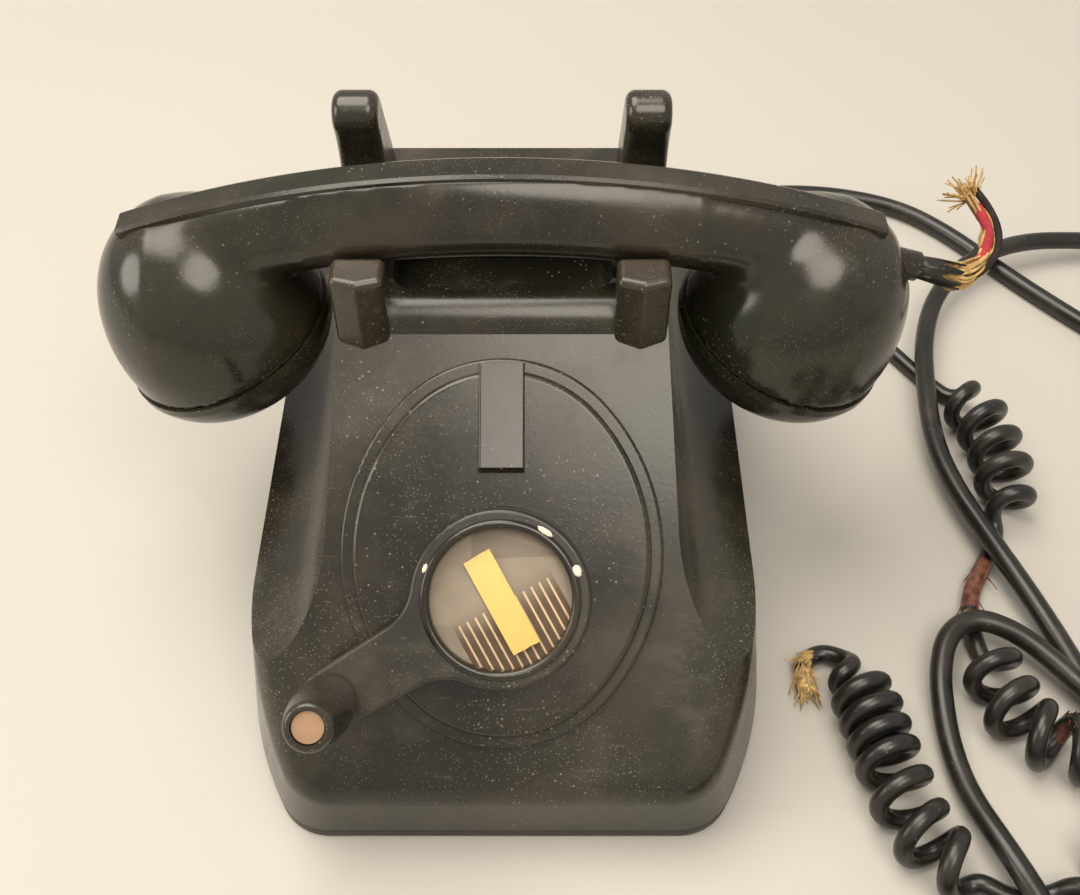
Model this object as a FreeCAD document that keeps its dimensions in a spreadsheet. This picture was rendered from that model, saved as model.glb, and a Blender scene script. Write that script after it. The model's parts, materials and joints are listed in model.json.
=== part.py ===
import FreeCAD
import Part
import math
import os
import Sketcher

# Desk telephone with a hand-cranked magneto.
# Frame: +X to the right, the front faces -Y, +Z up, origin on the table under the middle of the telephone.

SIZES = {
    # housing
    "front_edge": -102.0, "base_depth": 212.0, "base_half": 82.0, "front_corner": 17.0,
    "front_flank": 105.0, "flank_run": 62.0, "back_corner": 30.0,
    "foot_height": 1.0, "foot_radius": 10.0, "foot_inset": 28.8, "seam_height": 5.0, "seam_chamfer": 0.8,
    "wall": 4.5, "side_lean": 8.0, "back_lean": 15.8, "slope": 39.0, "front_rise": 28.7, "slope_round": 12.0,
    "body_top": 118.0, "tower_half": 47.0, "tower_lean": 4.8, "ledge_height": 49.0, "cove_radius": 30.0,
    "roll_radius": 12.0, "roll_back": 114.0, "roll_height": 107.5, "scoop_half": 32.0, "scoop_front": 113.0,
    "scoop_back": 147.0, "scoop_floor": 101.0, "scoop_corner": 8.0,
    "post_outer": 47.0, "post_width": 15.0, "post_front": 101.5, "post_back": 111.5, "post_top": 134.0,
    "post_ridge": 2.0, "post_round": 2.0,
    "horn_outer": 48.5, "horn_width": 13.3, "horn_front": 143.0, "horn_tip": 147.0, "horn_back": 181.0,
    "horn_top": 157.0, "horn_hollow": 34.0, "horn_round": 3.0,
    "boss_radius": 6.0, "boss_inset": 9.5, "boss_front": 52.0, "boss_rear": 44.0, "boss_top": 24.0,
    "screw_radius": 1.7, "screw_top": 18.0, "screw_head": 3.5, "screw_head_depth": 1.8, "fit_gap": 0.05,
    # front plate and crank, measured square to the slope
    "hub_run": 58.4, "plate_half": 46.0, "plate_end_radius": 40.0, "plate_half_tall": 55.5,
    "plate_rise": 11.6, "plate_lip": 2.5, "plate_lip_width": 3.5, "plate_top": 4.8, "plate_round": 2.0,
    "lip_round": 1.2, "spigot_inset": 8.0, "spigot_wall": 3.5, "plate_under": 0.7, "opening_gap": 0.4,
    "rib_width": 13.0, "rib_low": 34.6, "rib_high": 65.5, "rib_top": 8.5, "rib_round": 1.5,
    "bush_radius": 6.5, "bush_top": 6.0, "bush_deep": 7.0, "shaft_radius": 4.0,
    "hub_radius": 25.0, "arm_low": 9.3, "arm_top": 15.3, "arm_length": 54.0, "arm_end": 8.5, "arm_neck": 9.4,
    "arm_fillet": 15.0, "arm_round": 1.2, "crank_angle": 30.5, "hub_boss": 9.0,
    "boss_low": 6.3, "label_seat": 11.3, "label_thick": 0.4, "window_thick": 1.0, "recess_radius": 21.5,
    "bezel_inner": 19.6, "bezel_outer": 22.2, "bezel_rise": 1.2, "seat_gap": 0.1, "shaft_end": 11.0,
    "pin_radius": 3.0, "pin_head": 4.1, "pin_head_thick": 1.0, "knob_low": 15.6, "knob_top": 49.3,
    "knob_base": 7.4, "knob_end": 6.6, "knob_lip": 5.4, "knob_well": 4.4, "knob_well_deep": 2.1,
    "knob_edge": 1.0, "knob_crown": 2.0, "knob_crown_radius": 2.2, "knob_swell": 101.0,
    # magneto, below the slope
    "tooth_module": 1.0, "tooth_tip": 0.85, "tooth_root": 1.1, "tooth_angle": 20.0, "tooth_play": 0.14,
    "gear_teeth": 48, "pinion_teeth": 12, "gear_top": 8.0, "gear_thick": 6.0,
    "pinion_extra": 0.6, "frame_deep": 20.0, "frame_thick": 2.0, "frame_half": 30.0, "frame_low": 28.0,
    "frame_high": 50.0, "magneto_length": 36.0, "pole_outer": 20.0, "pole_inner": 3.5,
    "pole_half_tall": 17.0, "armature_radius": 13.0, "air_gap": 0.4, "armature_margin": 4.0, "slot_half": 6.0,
    "slot_web": 4.0, "armature_shaft": 2.5, "bearing_radius": 4.5, "magnet_count": 3, "magnet_thick": 7.0,
    "magnet_width": 10.0, "magnet_gap": 1.5,
    "pillar_radius": 2.5, "pillar_x": 16.0, "pillar_high": 40.0, "pillar_low": 24.0,
    "bar_half": 40.0, "bar_width": 8.0, "bar_thick": 3.0, "bar_screw_x": 12.0, "bar_screw_radius": 1.6,
    # hook switch
    "plunger_x": 39.5, "plunger_radius": 4.0, "plunger_gap": 0.3, "plunger_top": 122.0, "yoke_half": 43.0,
    "yoke_low": 76.0, "yoke_thick": 5.0, "yoke_half_deep": 5.0, "bracket_half": 8.0, "bracket_near": 8.0,
    "bracket_far": 14.0, "bracket_low": 62.0, "leaf_count": 3, "leaf_half": 4.0, "leaf_reach": 6.0,
    "leaf_thick": 0.4, "leaf_step": 3.5,
    # ringer and circuit
    "gong_radius": 21.0, "gong_wall": 1.6, "gong_high": 14.0, "gong_x": 25.0, "gong_inset": 38.5,
    "gong_low": 23.0, "gong_post": 4.0, "gong_screw": 2.0,
    "coil_x": 12.0, "coil_to_gong": 28.0, "coil_radius": 9.0, "coil_low": 10.0, "coil_high": 38.0,
    "core_radius": 3.5, "core_top": 41.0, "frame_strap": 3.0, "strap_half": 24.0, "strap_half_deep": 9.5,
    "upright_half": 7.0, "upright_thick": 3.0, "pivot_height": 44.5, "pivot_radius": 1.5, "bar_gap": 2.0,
    "clapper_half": 18.0, "clapper_deep": 5.0, "clapper_thick": 3.0, "rod_radius": 1.2, "ball_radius": 2.5,
    "ball_height": 30.0,
    "winding_radius": 13.0, "winding_inset": 25.0, "winding_front": 92.0, "winding_length": 46.0,
    "flange_half": 15.0, "flange_thick": 3.0, "iron_radius": 5.0, "iron_extra": 3.0,
    "capacitor_inset": 13.0, "capacitor_wide": 24.0, "capacitor_front": 92.0, "capacitor_long": 48.0,
    "capacitor_high": 32.0, "capacitor_round": 3.0,
    "strip_inset": 20.0, "strip_wide": 26.0, "strip_front": 48.0, "strip_long": 34.0, "strip_high": 9.0,
    "terminal_count": 4, "terminal_radius": 2.4, "terminal_thick": 2.2, "terminal_deep": 6.0,
    # handset
    "handset_back": 126.5, "handle_center": 138.0, "arch_radius": 300.0, "handle_reach": 95.0,
    "handle_half": 14.0, "handle_up": 14.0, "handle_down": 12.8, "spine_half": 4.0, "cheek_radius": 30.0,
    "cup_x": 87.0, "cup_height": 95.0, "cup_tilt": 20.0, "cup_radius": 33.0, "cup_dome": 43.0,
    "cup_skirt": 4.0, "cap_lip": 0.7, "cap_depth": 16.0, "cap_face": 24.0, "cap_curve": 24.0, "cap_wall": 2.5,
    "cup_bore": 27.0, "cup_bore_deep": 10.0, "capsule_radius": 26.0, "capsule_thick": 12.0,
    "capsule_rim": 1.0, "hole_ring": 9.0, "ear_holes": 6, "mouth_holes": 10, "hole_radius": 1.6,
    # cords
    "line_radius": 3.6, "curl_wire": 3.0, "curl_radius": 8.25, "loose_pitch": 12.0, "tight_pitch": 7.4,
    "tight_length": 36.0, "torn_tail": 34.0, "curl_step": 2.0, "table_gap": 0.05,
    "line_gland_x": 20.0, "line_gland_z": 14.0, "curl_gland_x": 46.0, "curl_gland_z": 13.0,
    "gland_flange": 7.5, "gland_flange_thick": 2.5, "gland_neck": 5.2, "gland_inside": 8.0, "gland_nose": 6.5,
    "lead_run": 17.0, "coil_run": 27.2, "coil_start": 35.0, "coil_turn_radius": 40.0, "coil_spacing": 7.9,
    "coil_center_x": 130.0, "coil_center_y": -192.0, "coil_loops": 2, "lug_length": 14.0, "lug_thick": 0.8,
    "lug_half": 3.2, "tail_radius": 1.3, "tail_length": 18.0, "tail_spread": 4.5, "sleeve_length": 10.0,
    "sleeve_extra": 0.6,
    "bush_x": 113.0, "bush_z": 119.0, "bush_dip": 17.0, "stub_bush_radius": 4.4, "stub_bush_length": 9.0,
    "stub_bush_inside": 8.0, "stub_radius": 2.6,
}

doc = FreeCAD.newDocument("desk_telephone")
sheet = doc.addObject("Spreadsheet::Sheet", "Sizes")
for row, (alias, number) in enumerate(SIZES.items(), 1):
    sheet.set("A%d" % row, alias)
    sheet.set("B%d" % row, str(number))
    sheet.setAlias("B%d" % row, alias)
doc.recompute()

PARTS = {}
# A half-circle end is drawn a touch flatter, so that its centre stays defined.
ROUND_END = 1.001


class Size:
    """A number together with the sheet expression that gives it."""

    def __init__(self, value, text):
        self.value = value
        self.text = text

    def __add__(self, other):
        return joined(self, "+", other, lambda a, b: a + b)

    def __radd__(self, other):
        return joined(other, "+", self, lambda a, b: a + b)

    def __sub__(self, other):
        return joined(self, "-", other, lambda a, b: a - b)

    def __rsub__(self, other):
        return joined(other, "-", self, lambda a, b: a - b)

    def __mul__(self, other):
        return joined(self, "*", other, lambda a, b: a * b)

    def __rmul__(self, other):
        return joined(other, "*", self, lambda a, b: a * b)

    def __truediv__(self, other):
        return joined(self, "/", other, lambda a, b: a / b)

    def __neg__(self):
        return joined(0, "-", self, lambda a, b: a - b)


def as_size(number):
    if isinstance(number, Size):
        return number
    return Size(float(number), "%.9g" % number if number >= 0 else "(0 - %.9g)" % -number)


def joined(left, sign, right, work):
    left = as_size(left)
    right = as_size(right)
    return Size(work(left.value, right.value), "(%s %s %s)" % (left.text, sign, right.text))


def of_angle(name, angle):
    angle = as_size(angle)
    work = {"sin": math.sin, "cos": math.cos, "tan": math.tan}[name]
    return Size(work(math.radians(angle.value)), "%s(%s * 1 deg)" % (name, angle.text))


def root(number):
    return Size(math.sqrt(number.value), "sqrt(%s)" % number.text)


def s(alias):
    return Size(float(sheet.get(alias)), "Sizes." + alias)


def behind(distance):
    """The Y place that lies this far behind the front edge of the base."""
    return s("front_edge") + distance


# Frames: each is the text of a placement, so that every sub-part follows the sheet.

def at(x=0, y=0, z=0, axis="0;0;1", turn=0):
    texts = [as_size(number).text for number in (x, y, z, turn)]
    return "placement(vector(%s; %s; %s); rotation(vector(%s); %s))" % (*texts[:3], axis, texts[3])


HOME = at()
HUB_Y = behind(s("hub_run") * of_angle("cos", s("slope")))
HUB_Z = s("front_rise") + s("hub_run") * of_angle("sin", s("slope"))
PLATE = at(0, HUB_Y, HUB_Z, "1;0;0", s("slope"))
CRANK = PLATE + " * " + at(turn=s("crank_angle"))
KNOB = CRANK + " * " + at(x=-s("arm_length"))
GEAR_SPACING = s("tooth_module") * (s("gear_teeth") + s("pinion_teeth")) / 2
ARMATURE = PLATE + " * " + at(y=GEAR_SPACING)
HANDSET_Y = behind(s("handset_back"))
EAR = at(-s("cup_x"), HANDSET_Y, s("cup_height"), "0;1;0", -s("cup_tilt"))
MOUTH = at(s("cup_x"), HANDSET_Y, s("cup_height"), "0;1;0", s("cup_tilt"))
HANDSET = at(0, HANDSET_Y, 0)
BACK = behind(s("base_depth"))


def back_frame(x, z):
    """A frame on the back wall, its Z axis square to the wall and pointing out."""
    y = BACK - (z - s("seam_height")) * of_angle("tan", s("back_lean"))
    return at(x, y, z, "1;0;0", s("back_lean") - 90)


LINE_GLAND = back_frame(s("line_gland_x"), s("line_gland_z"))
CURL_GLAND = back_frame(s("curl_gland_x"), s("curl_gland_z"))
STUB = at(s("bush_x"), HANDSET_Y, s("bush_z"), "0;1;0", 90 + s("bush_dip"))


# Building blocks

def bind(thing, **sizes):
    for name, size in sizes.items():
        thing.setExpression(name, as_size(size).text)
    return thing


def place(thing, frame):
    thing.setExpression("Placement", frame)
    return thing


def cylinder(name, radius, height, frame=HOME):
    return place(bind(doc.addObject("Part::Cylinder", name), Radius=radius, Height=height), frame)


def sphere(name, radius, frame):
    return place(bind(doc.addObject("Part::Sphere", name), Radius=radius), frame)


def box(name, x, y, z):
    """A box from pairs of low and high faces."""
    thing = doc.addObject("Part::Box", name)
    bind(thing, Length=x[1] - x[0], Width=y[1] - y[0], Height=z[1] - z[0])
    return place(thing, at(x[0], y[0], z[0]))


def fuse(name, *things):
    thing = doc.addObject("Part::MultiFuse", name)
    thing.Shapes = list(things)
    thing.Refine = True
    return thing


def common(name, *things):
    thing = doc.addObject("Part::MultiCommon", name)
    thing.Shapes = list(things)
    return thing


def cut(name, base, *tools):
    thing = doc.addObject("Part::Cut", name)
    thing.Base = base
    thing.Tool = tools[0] if len(tools) == 1 else fuse(name + "_tools", *tools)
    return thing


def group(name, *things):
    thing = doc.addObject("Part::Compound", name)
    thing.Links = list(things)
    return thing


def mirrored(name, thing):
    copy = doc.addObject("Part::Mirroring", name)
    copy.Source = thing
    copy.Normal = FreeCAD.Vector(1, 0, 0)
    return copy


def rounded(name, base, radius, wanted):
    """Round the edges of base that the test picks out."""
    doc.recompute()
    thing = doc.addObject("Part::Fillet", name)
    thing.Base = base
    picked = [(i, radius.value, radius.value) for i, edge in enumerate(base.Shape.Edges, 1) if wanted(edge)]
    thing.Edges = picked
    return thing


def edge_points(edge, count=5):
    return edge.discretize(Number=count)


def on_level(level, tolerance=1e-4):
    """A test for edges that lie wholly on one height."""
    return lambda edge: all(abs(point.z - level.value) < tolerance for point in edge_points(edge))


def arc_center(start, end, radius):
    """Centre of an arc that turns left on its way for a positive radius, and right for a negative one."""
    middle = (start + end) * 0.5
    along = end - start
    half = along.Length / 2
    rise = math.sqrt(max(radius * radius - half * half, 0.0))
    left = FreeCAD.Vector(-along.y, along.x, 0).normalize()
    return middle + left * (rise if radius > 0 else -rise)


def draw(sketch, points):
    """Close an outline in a sketch. A point is (x, y) or (x, y, radius) where an arc leads to it.

    A positive radius turns left on the way, a negative one turns right, and every place is tied to the sheet.
    """
    spots = [FreeCAD.Vector(as_size(p[0]).value, as_size(p[1]).value, 0) for p in points]
    ends = []
    for index in range(len(points)):
        target = (index + 1) % len(points)
        if len(points[target]) == 2:
            number = sketch.addGeometry(Part.LineSegment(spots[index], spots[target]), False)
            ends.append((number, 1, 2))
            continue
        radius = as_size(points[target][2])
        center = arc_center(spots[index], spots[target], radius.value)
        first, last = spots[index] - center, spots[target] - center
        angles = [math.atan2(v.y, v.x) for v in (first, last)]
        if radius.value < 0:
            angles.reverse()
        if angles[1] < angles[0]:
            angles[1] += 2 * math.pi
        circle = Part.Circle(center, FreeCAD.Vector(0, 0, 1), abs(radius.value))
        number = sketch.addGeometry(Part.ArcOfCircle(circle, *angles), False)
        ends.append((number, 1, 2) if radius.value > 0 else (number, 2, 1))
        length = sketch.addConstraint(Sketcher.Constraint("Radius", number, abs(radius.value)))
        sketch.setExpression("Constraints[%d]" % length, radius.text if radius.value > 0 else (-radius).text)
    for index, (number, first, last) in enumerate(ends):
        following, start, _ = ends[(index + 1) % len(ends)]
        sketch.addConstraint(Sketcher.Constraint("Coincident", number, last, following, start))
    for (number, first, last), point in zip(ends, points):
        for kind, size in (("DistanceX", as_size(point[0])), ("DistanceY", as_size(point[1]))):
            tie = sketch.addConstraint(Sketcher.Constraint(kind, -1, 1, number, first, size.value))
            sketch.setExpression("Constraints[%d]" % tie, size.text)


def new_sketch(body, name, plane, points, height=0):
    sketch = body.newObject("Sketcher::SketchObject", name)
    face = [item for item in body.Origin.OriginFeatures if item.Role == plane][0]
    sketch.AttachmentSupport = [(face, "")]
    sketch.MapMode = "FlatFace"
    sketch.setExpression("AttachmentOffset.Base.z", as_size(height).text)
    draw(sketch, points)
    return sketch


def padded(name, plane, points, length, height=0, both=False):
    """A body made by padding an outline, from the given height of its plane or to both sides."""
    body = doc.addObject("PartDesign::Body", name)
    sketch = new_sketch(body, name + "_outline", plane, points, height)
    pad = body.newObject("PartDesign::Pad", name + "_pad")
    pad.Profile = sketch
    pad.Midplane = both
    bind(pad, Length=length)
    return body


def turned(name, points):
    """A body of revolution about Z from an outline of radius and height."""
    body = doc.addObject("PartDesign::Body", name)
    sketch = new_sketch(body, name + "_outline", "XZ_Plane", points)
    spin = body.newObject("PartDesign::Revolution", name + "_turn")
    spin.Profile = sketch
    spin.ReferenceAxis = (sketch, ["V_Axis"])
    spin.Angle = 360
    return body


def keep(label, thing, frame=None):
    thing.Label = label
    if frame is not None:
        place(thing, frame)
    PARTS[label] = thing
    return thing


# Housing and base

def plan_outline(half, inset):
    """The base seen from above: sides that draw in to tight front corners, and wider back corners."""
    near = behind(inset)
    far = BACK - inset
    rear = s("back_corner") - inset
    corner = s("front_corner") - inset
    flank = s("front_flank") - inset
    widest = behind(s("flank_run"))
    # The corner lies inside the flank's arc and touches it.
    reach = flank - corner
    drop = s("flank_run") - s("front_corner")
    aside = root(reach * reach - drop * drop)
    front = half - flank + aside
    join_x = front + corner * aside / reach
    join_y = near + corner - corner * drop / reach
    return [(-front, near, corner), (front, near), (join_x, join_y, corner), (half, widest, flank),
            (half, far - rear), (half - rear, far, rear), (rear - half, far), (-half, far - rear, rear),
            (-half, widest), (-join_x, join_y, flank)]


def base_plate():
    thick = s("seam_height") - s("foot_height")
    outline = plan_outline(s("base_half"), as_size(0))
    slab = padded("base_slab", "XY_Plane", outline, thick, s("foot_height"))
    doc.recompute()
    block = slab.Tip
    edges = ["Edge%d" % i for i, edge in enumerate(block.Shape.Edges, 1) if on_level(s("seam_height"))(edge)]
    groove = slab.newObject("PartDesign::Chamfer", "base_groove")
    groove.Base = (block, edges)
    bind(groove, Size=s("seam_chamfer"))
    holes = []
    for name, x, y in screw_places():
        holes.append(cylinder("hole" + name, s("screw_radius") + s("fit_gap"), s("seam_height"), at(x, y)))
        deep = s("foot_height") + s("screw_head_depth")
        holes.append(cylinder("sink" + name, s("screw_head") + s("fit_gap"), deep, at(x, y)))
    keep("base_plate", cut("base_plate", slab, *holes))


def screw_places():
    for name, x in (("_left", s("boss_inset") - s("base_half")), ("_right", s("base_half") - s("boss_inset"))):
        for end, y in (("_front", behind(s("boss_front"))), ("_back", BACK - s("boss_rear"))):
            yield name + end, x, y


def feet():
    pads = []
    inset = s("foot_inset")
    for side in (-1, 1):
        for name, y in (("front", behind(inset)), ("back", BACK - s("back_corner"))):
            spot = at((s("base_half") - inset) * side, y)
            pads.append(cylinder("foot_%s_%d" % (name, side), s("foot_radius"), s("foot_height"), spot))
    keep("feet", group("feet", *pads))


def base_screws():
    screws = []
    for name, x, y in screw_places():
        low = s("foot_height") + s("screw_head_depth")
        shank = cylinder("shank" + name, s("screw_radius"), s("screw_top") - low, at(x, y, low))
        head_low = s("foot_height") + s("fit_gap")
        head = cylinder("head" + name, s("screw_head"), low - head_low, at(x, y, head_low))
        screws.append(fuse("screw" + name, shank, head))
    keep("base_screws", group("base_screws", *screws))


def envelope(name, inset):
    """The plain outer form of the housing, or with an inset the room inside it."""
    low = s("seam_height")
    high = s("body_top") + s("wall")
    lean = of_angle("tan", s("side_lean")) * (high - low)
    body = doc.addObject("PartDesign::Body", name + "_skirt")
    sketches = []
    foot_half = s("base_half") - inset
    for level, half, mark in ((low, foot_half, "low"), (high, foot_half - lean, "high")):
        outline = plan_outline(half, inset)
        sketches.append(new_sketch(body, "%s_%s" % (name, mark), "XY_Plane", outline, level))
    loft = body.newObject("PartDesign::AdditiveLoft", name + "_loft")
    loft.Profile = sketches[0]
    loft.Sections = [sketches[1]]
    loft.Ruled = True
    climb = of_angle("tan", s("slope"))
    drop = inset / of_angle("cos", s("slope"))
    peak = high + s("wall")
    near = behind(inset)
    foot = BACK - inset / of_angle("cos", s("back_lean"))
    outline = [(near, low), (foot, low), (foot - (peak - low) * of_angle("tan", s("back_lean")), peak),
               (behind((peak - s("front_rise") + drop) / climb), peak),
               (near, s("front_rise") - drop + inset * climb)]
    wedge = padded(name + "_wedge", "YZ_Plane", outline, s("base_half") * 4, both=True)
    return common(name + "_form", body, wedge)


def cove(name, inset):
    """The cutter that leaves a narrow tower over a wide base, with a hollow curve between."""
    low = s("ledge_height") - inset
    high = s("body_top") + s("wall") * 3
    steep = of_angle("tan", s("tower_lean"))
    foot = s("tower_half") - inset + (s("body_top") - low) * steep
    top = s("tower_half") - inset - (high - s("body_top")) * steep
    reach = s("base_half") * 2
    radius = s("cove_radius") + inset
    turn = radius * of_angle("tan", 45 - s("tower_lean") / 2)
    side = (foot - turn * of_angle("sin", s("tower_lean")), low + turn * of_angle("cos", s("tower_lean")))
    outline = [(reach, low), (reach, high), (top, high), side, (foot + turn, low, radius)]
    right = padded(name + "_right", "XZ_Plane", outline, s("base_depth") * 3, both=True)
    return right, mirrored(name + "_left", right)


def scoop(name, grow):
    """The carry recess under the handset's handle."""
    half = s("scoop_half") + grow
    corner = s("scoop_corner") + grow
    near = behind(s("scoop_front") - grow)
    far = behind(s("scoop_back") + grow)
    outline = [(corner - half, near, corner), (half - corner, near), (half, near + corner, corner),
               (half, far - corner), (half - corner, far, corner), (corner - half, far),
               (-half, far - corner, corner), (-half, near + corner)]
    return padded(name, "XY_Plane", outline, s("body_top"), s("scoop_floor") - grow)


def front_posts():
    """Two ridged posts that hold the handset from the front."""
    inner = s("post_outer") - s("post_width")
    middle = s("post_outer") - s("post_width") / 2
    low = s("body_top") - s("cove_radius")
    near = behind(s("post_front"))
    far = behind(s("post_back"))
    plan = [(inner, near), (middle, near - s("post_ridge")), (s("post_outer"), near), (s("post_outer"), far),
            (inner, far)]
    stem = padded("post_stem", "XY_Plane", plan, s("post_top") - low, low)
    right = rounded("post_right", stem, s("post_round"), lambda edge: max(p.z for p in edge_points(edge))
                    > s("post_top").value - 0.01)
    return right, mirrored("post_left", right)


def rear_horns():
    """Two hooked horns that hold the handset from behind: a hollow front, a round tip and a sloping back."""
    low = s("body_top") - s("wall")
    knob, hollow = s("horn_width") / 2, s("horn_hollow")
    near, far = behind(s("horn_front")), behind(s("horn_back"))
    tip_y, tip_z = behind(s("horn_tip")) + knob, s("horn_top") - knob
    # The hollow's centre lies one radius from the foot and one radius and a tip from the tip's middle.
    span_y, span_z = near - tip_y, low - tip_z
    span = root(span_y * span_y + span_z * span_z)
    reach = hollow + knob
    along = (reach * reach - hollow * hollow + span * span) / (2 * span)
    aside = root(reach * reach - along * along)
    way_y, way_z = span_y / span, span_z / span
    front_y = tip_y + (along * way_y + aside * way_z) * knob / reach
    front_z = tip_z + (along * way_z - aside * way_y) * knob / reach
    # The back is a line from the heel that just touches the tip.
    heel_y, heel_z = far - tip_y, low - tip_z
    square = heel_y * heel_y + heel_z * heel_z
    touch = knob * root(square - knob * knob)
    back_y = tip_y + (knob * knob * heel_y - touch * heel_z) / square
    back_z = tip_z + (knob * knob * heel_z + touch * heel_y) / square
    outline = [(near, low, -hollow), (far, low), (back_y, back_z), (front_y, front_z, knob)]
    fin = padded("horn_fin", "YZ_Plane", outline, s("horn_width"), s("horn_outer") - s("horn_width"))
    right = rounded("horn_right", fin, s("horn_round"), lambda edge: max(p.z for p in edge_points(edge))
                    > low.value + 0.5 and abs(edge_points(edge)[0].x - edge_points(edge)[-1].x) < 1e-4)
    return right, mirrored("horn_left", right)


def on_slope(edge):
    """Whether an edge lies on the plane of the sloping front."""
    climb = math.tan(math.radians(s("slope").value))
    rise = s("front_rise").value
    front = s("front_edge").value
    top = s("body_top").value + s("wall").value - 0.01
    points = edge_points(edge)
    level = all(abs(p.z - rise - (p.y - front) * climb) < 1e-3 for p in points)
    return level and not all(p.z > top for p in points)


def housing():
    form = rounded("housing_form", envelope("outer", as_size(0)), s("slope_round"), on_slope)
    lid_high = s("body_top") + s("wall") * 4
    wide = (-s("base_half") * 2, s("base_half") * 2)
    lid = box("lid", wide, (s("front_edge") * 3, BACK * 3), (s("body_top"), lid_high))
    shaped = cut("housing_shaped", form, *cove("cove", as_size(0)), lid)
    roll = cylinder("shoulder_roll", s("roll_radius"), s("tower_half") * 2,
                    at(-s("tower_half"), behind(s("roll_back")), s("roll_height"), "0;1;0", 90))
    crown = fuse("housing_crown", shaped, roll, *front_posts(), *rear_horns())
    under = box("under_lid", wide, (s("front_edge") * 3, BACK * 3), (s("body_top") - s("wall"), lid_high))
    room = cut("housing_room", envelope("inner", s("wall")), *cove("inner_cove", s("wall")), under,
               scoop("scoop_skin", s("wall")))
    hollow = cut("housing_hollow", crown, room, scoop("scoop_cut", as_size(0)))
    bosses = [cylinder("boss" + name, s("boss_radius"), s("boss_top") - s("seam_height"),
                       at(x, y, s("seam_height"))) for name, x, y in screw_places()]
    shell = fuse("housing_shell", hollow, *bosses)
    tools = [cylinder("bore" + name, s("screw_radius") + s("fit_gap"), s("screw_top"), at(x, y))
             for name, x, y in screw_places()]
    for side in (-1, 1):
        spot = at(s("plunger_x") * side, HANDSET_Y, s("yoke_low"))
        wide_hole = s("plunger_radius") + s("plunger_gap")
        tools.append(cylinder("plunger_hole_%d" % side, wide_hole, s("body_top"), spot))
    mouth = oval("front_opening", s("opening_gap") - s("spigot_inset"), -s("wall") * 4, s("plate_lip"))
    tools.append(place(mouth, PLATE))
    for name, frame in (("line", LINE_GLAND), ("curl", CURL_GLAND)):
        hole = cylinder(name + "_gland_hole", s("gland_neck") + s("fit_gap"), s("gland_inside") * 2,
                        frame + " * " + at(z=-s("gland_inside")))
        tools.append(hole)
    keep("housing", cut("housing", shell, *tools))


# Front plate and crank

def oval(name, grow, low, high):
    """An oval disc about the plate's middle, made of four tangent arcs and grown all round."""
    half, tall, end = s("plate_half"), s("plate_half_tall"), s("plate_end_radius")
    side = (half * half + (tall - end) * (tall - end) - end * end) / (2 * (half - end))
    reach = side - end
    over = end + grow
    join_x = over * (side - half) / reach
    join_y = (tall - end) + over * (tall - end) / reach
    mid = s("plate_rise")
    flank = side + grow
    outline = [(join_x, mid + join_y, flank), (-join_x, mid + join_y, over), (-join_x, mid - join_y, flank),
               (join_x, mid - join_y, over)]
    return padded(name, "XY_Plane", outline, high - low, low)


def along_rib(edge):
    """Whether an edge is one of the rib's long upper ones."""
    points = edge_points(edge)
    upper = min(p.z for p in points) > s("plate_top").value - 1e-4
    lengthwise = abs(points[0].x - points[-1].x) < 1e-4
    return upper and lengthwise and points[0].distanceToPoint(points[-1]) > s("rib_round").value * 3


def front_plate():
    lip = rounded("plate_lip", oval("plate_lip_disc", as_size(0), as_size(0), s("plate_lip")), s("lip_round"),
                  on_level(s("plate_lip")))
    dome = rounded("plate_dome", oval("plate_dome_disc", -s("plate_lip_width"), as_size(0), s("plate_top")),
                   s("plate_round"), on_level(s("plate_top")))
    spigot = oval("plate_spigot", -s("spigot_inset"), -s("wall"), as_size(0))
    well = oval("plate_well", -s("spigot_inset") - s("spigot_wall"), -s("wall"), -s("plate_under"))
    under = s("plate_under")
    ramp = [(s("rib_low"), under), (s("rib_high"), under), (s("rib_high"), s("plate_top")),
            (s("rib_low") + s("rib_round"), s("rib_top")), (s("rib_low"), s("rib_top") - s("rib_round"))]
    wedge = padded("rib_wedge", "YZ_Plane", ramp, s("rib_width"), both=True)
    rib = rounded("rib", wedge, s("rib_round") / 2, along_rib)
    bore = cylinder("bush_hole", s("bush_radius"), s("wall") * 4, at(z=-s("wall")))
    socket = s("bar_screw_radius") + s("fit_gap")
    screws = [cylinder("clamp_socket_%d" % i, socket, s("wall") - under, at(x, y, -s("wall")))
              for i, (x, y) in enumerate(clamp_places())]
    solid = cut("plate_solid", fuse("plate_blank", lip, dome, spigot, rib), well, bore, *screws)
    keep("front_plate", solid, PLATE)


def shaft_bush():
    low = at(z=-s("bush_deep"))
    length = s("bush_top") + s("bush_deep")
    outer = cylinder("bush_outer", s("bush_radius"), length, low)
    bore = cylinder("bush_bore", s("shaft_radius") + s("fit_gap"), length, low)
    keep("shaft_bush", cut("shaft_bush", outer, bore), PLATE)


def bar_places():
    """The clamp bars' heights on the plate, where their screws meet the middle of the spigot's wall."""
    ring = s("plate_end_radius") - s("spigot_inset") - s("spigot_wall") / 2
    rise = root(ring * ring - s("bar_screw_x") * s("bar_screw_x"))
    reach = s("plate_half_tall") - s("plate_end_radius") + rise
    return ("high", s("plate_rise") + reach), ("low", s("plate_rise") - reach)


def clamp_places():
    for name, y in bar_places():
        for side in (-1, 1):
            yield s("bar_screw_x") * side, y


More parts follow.
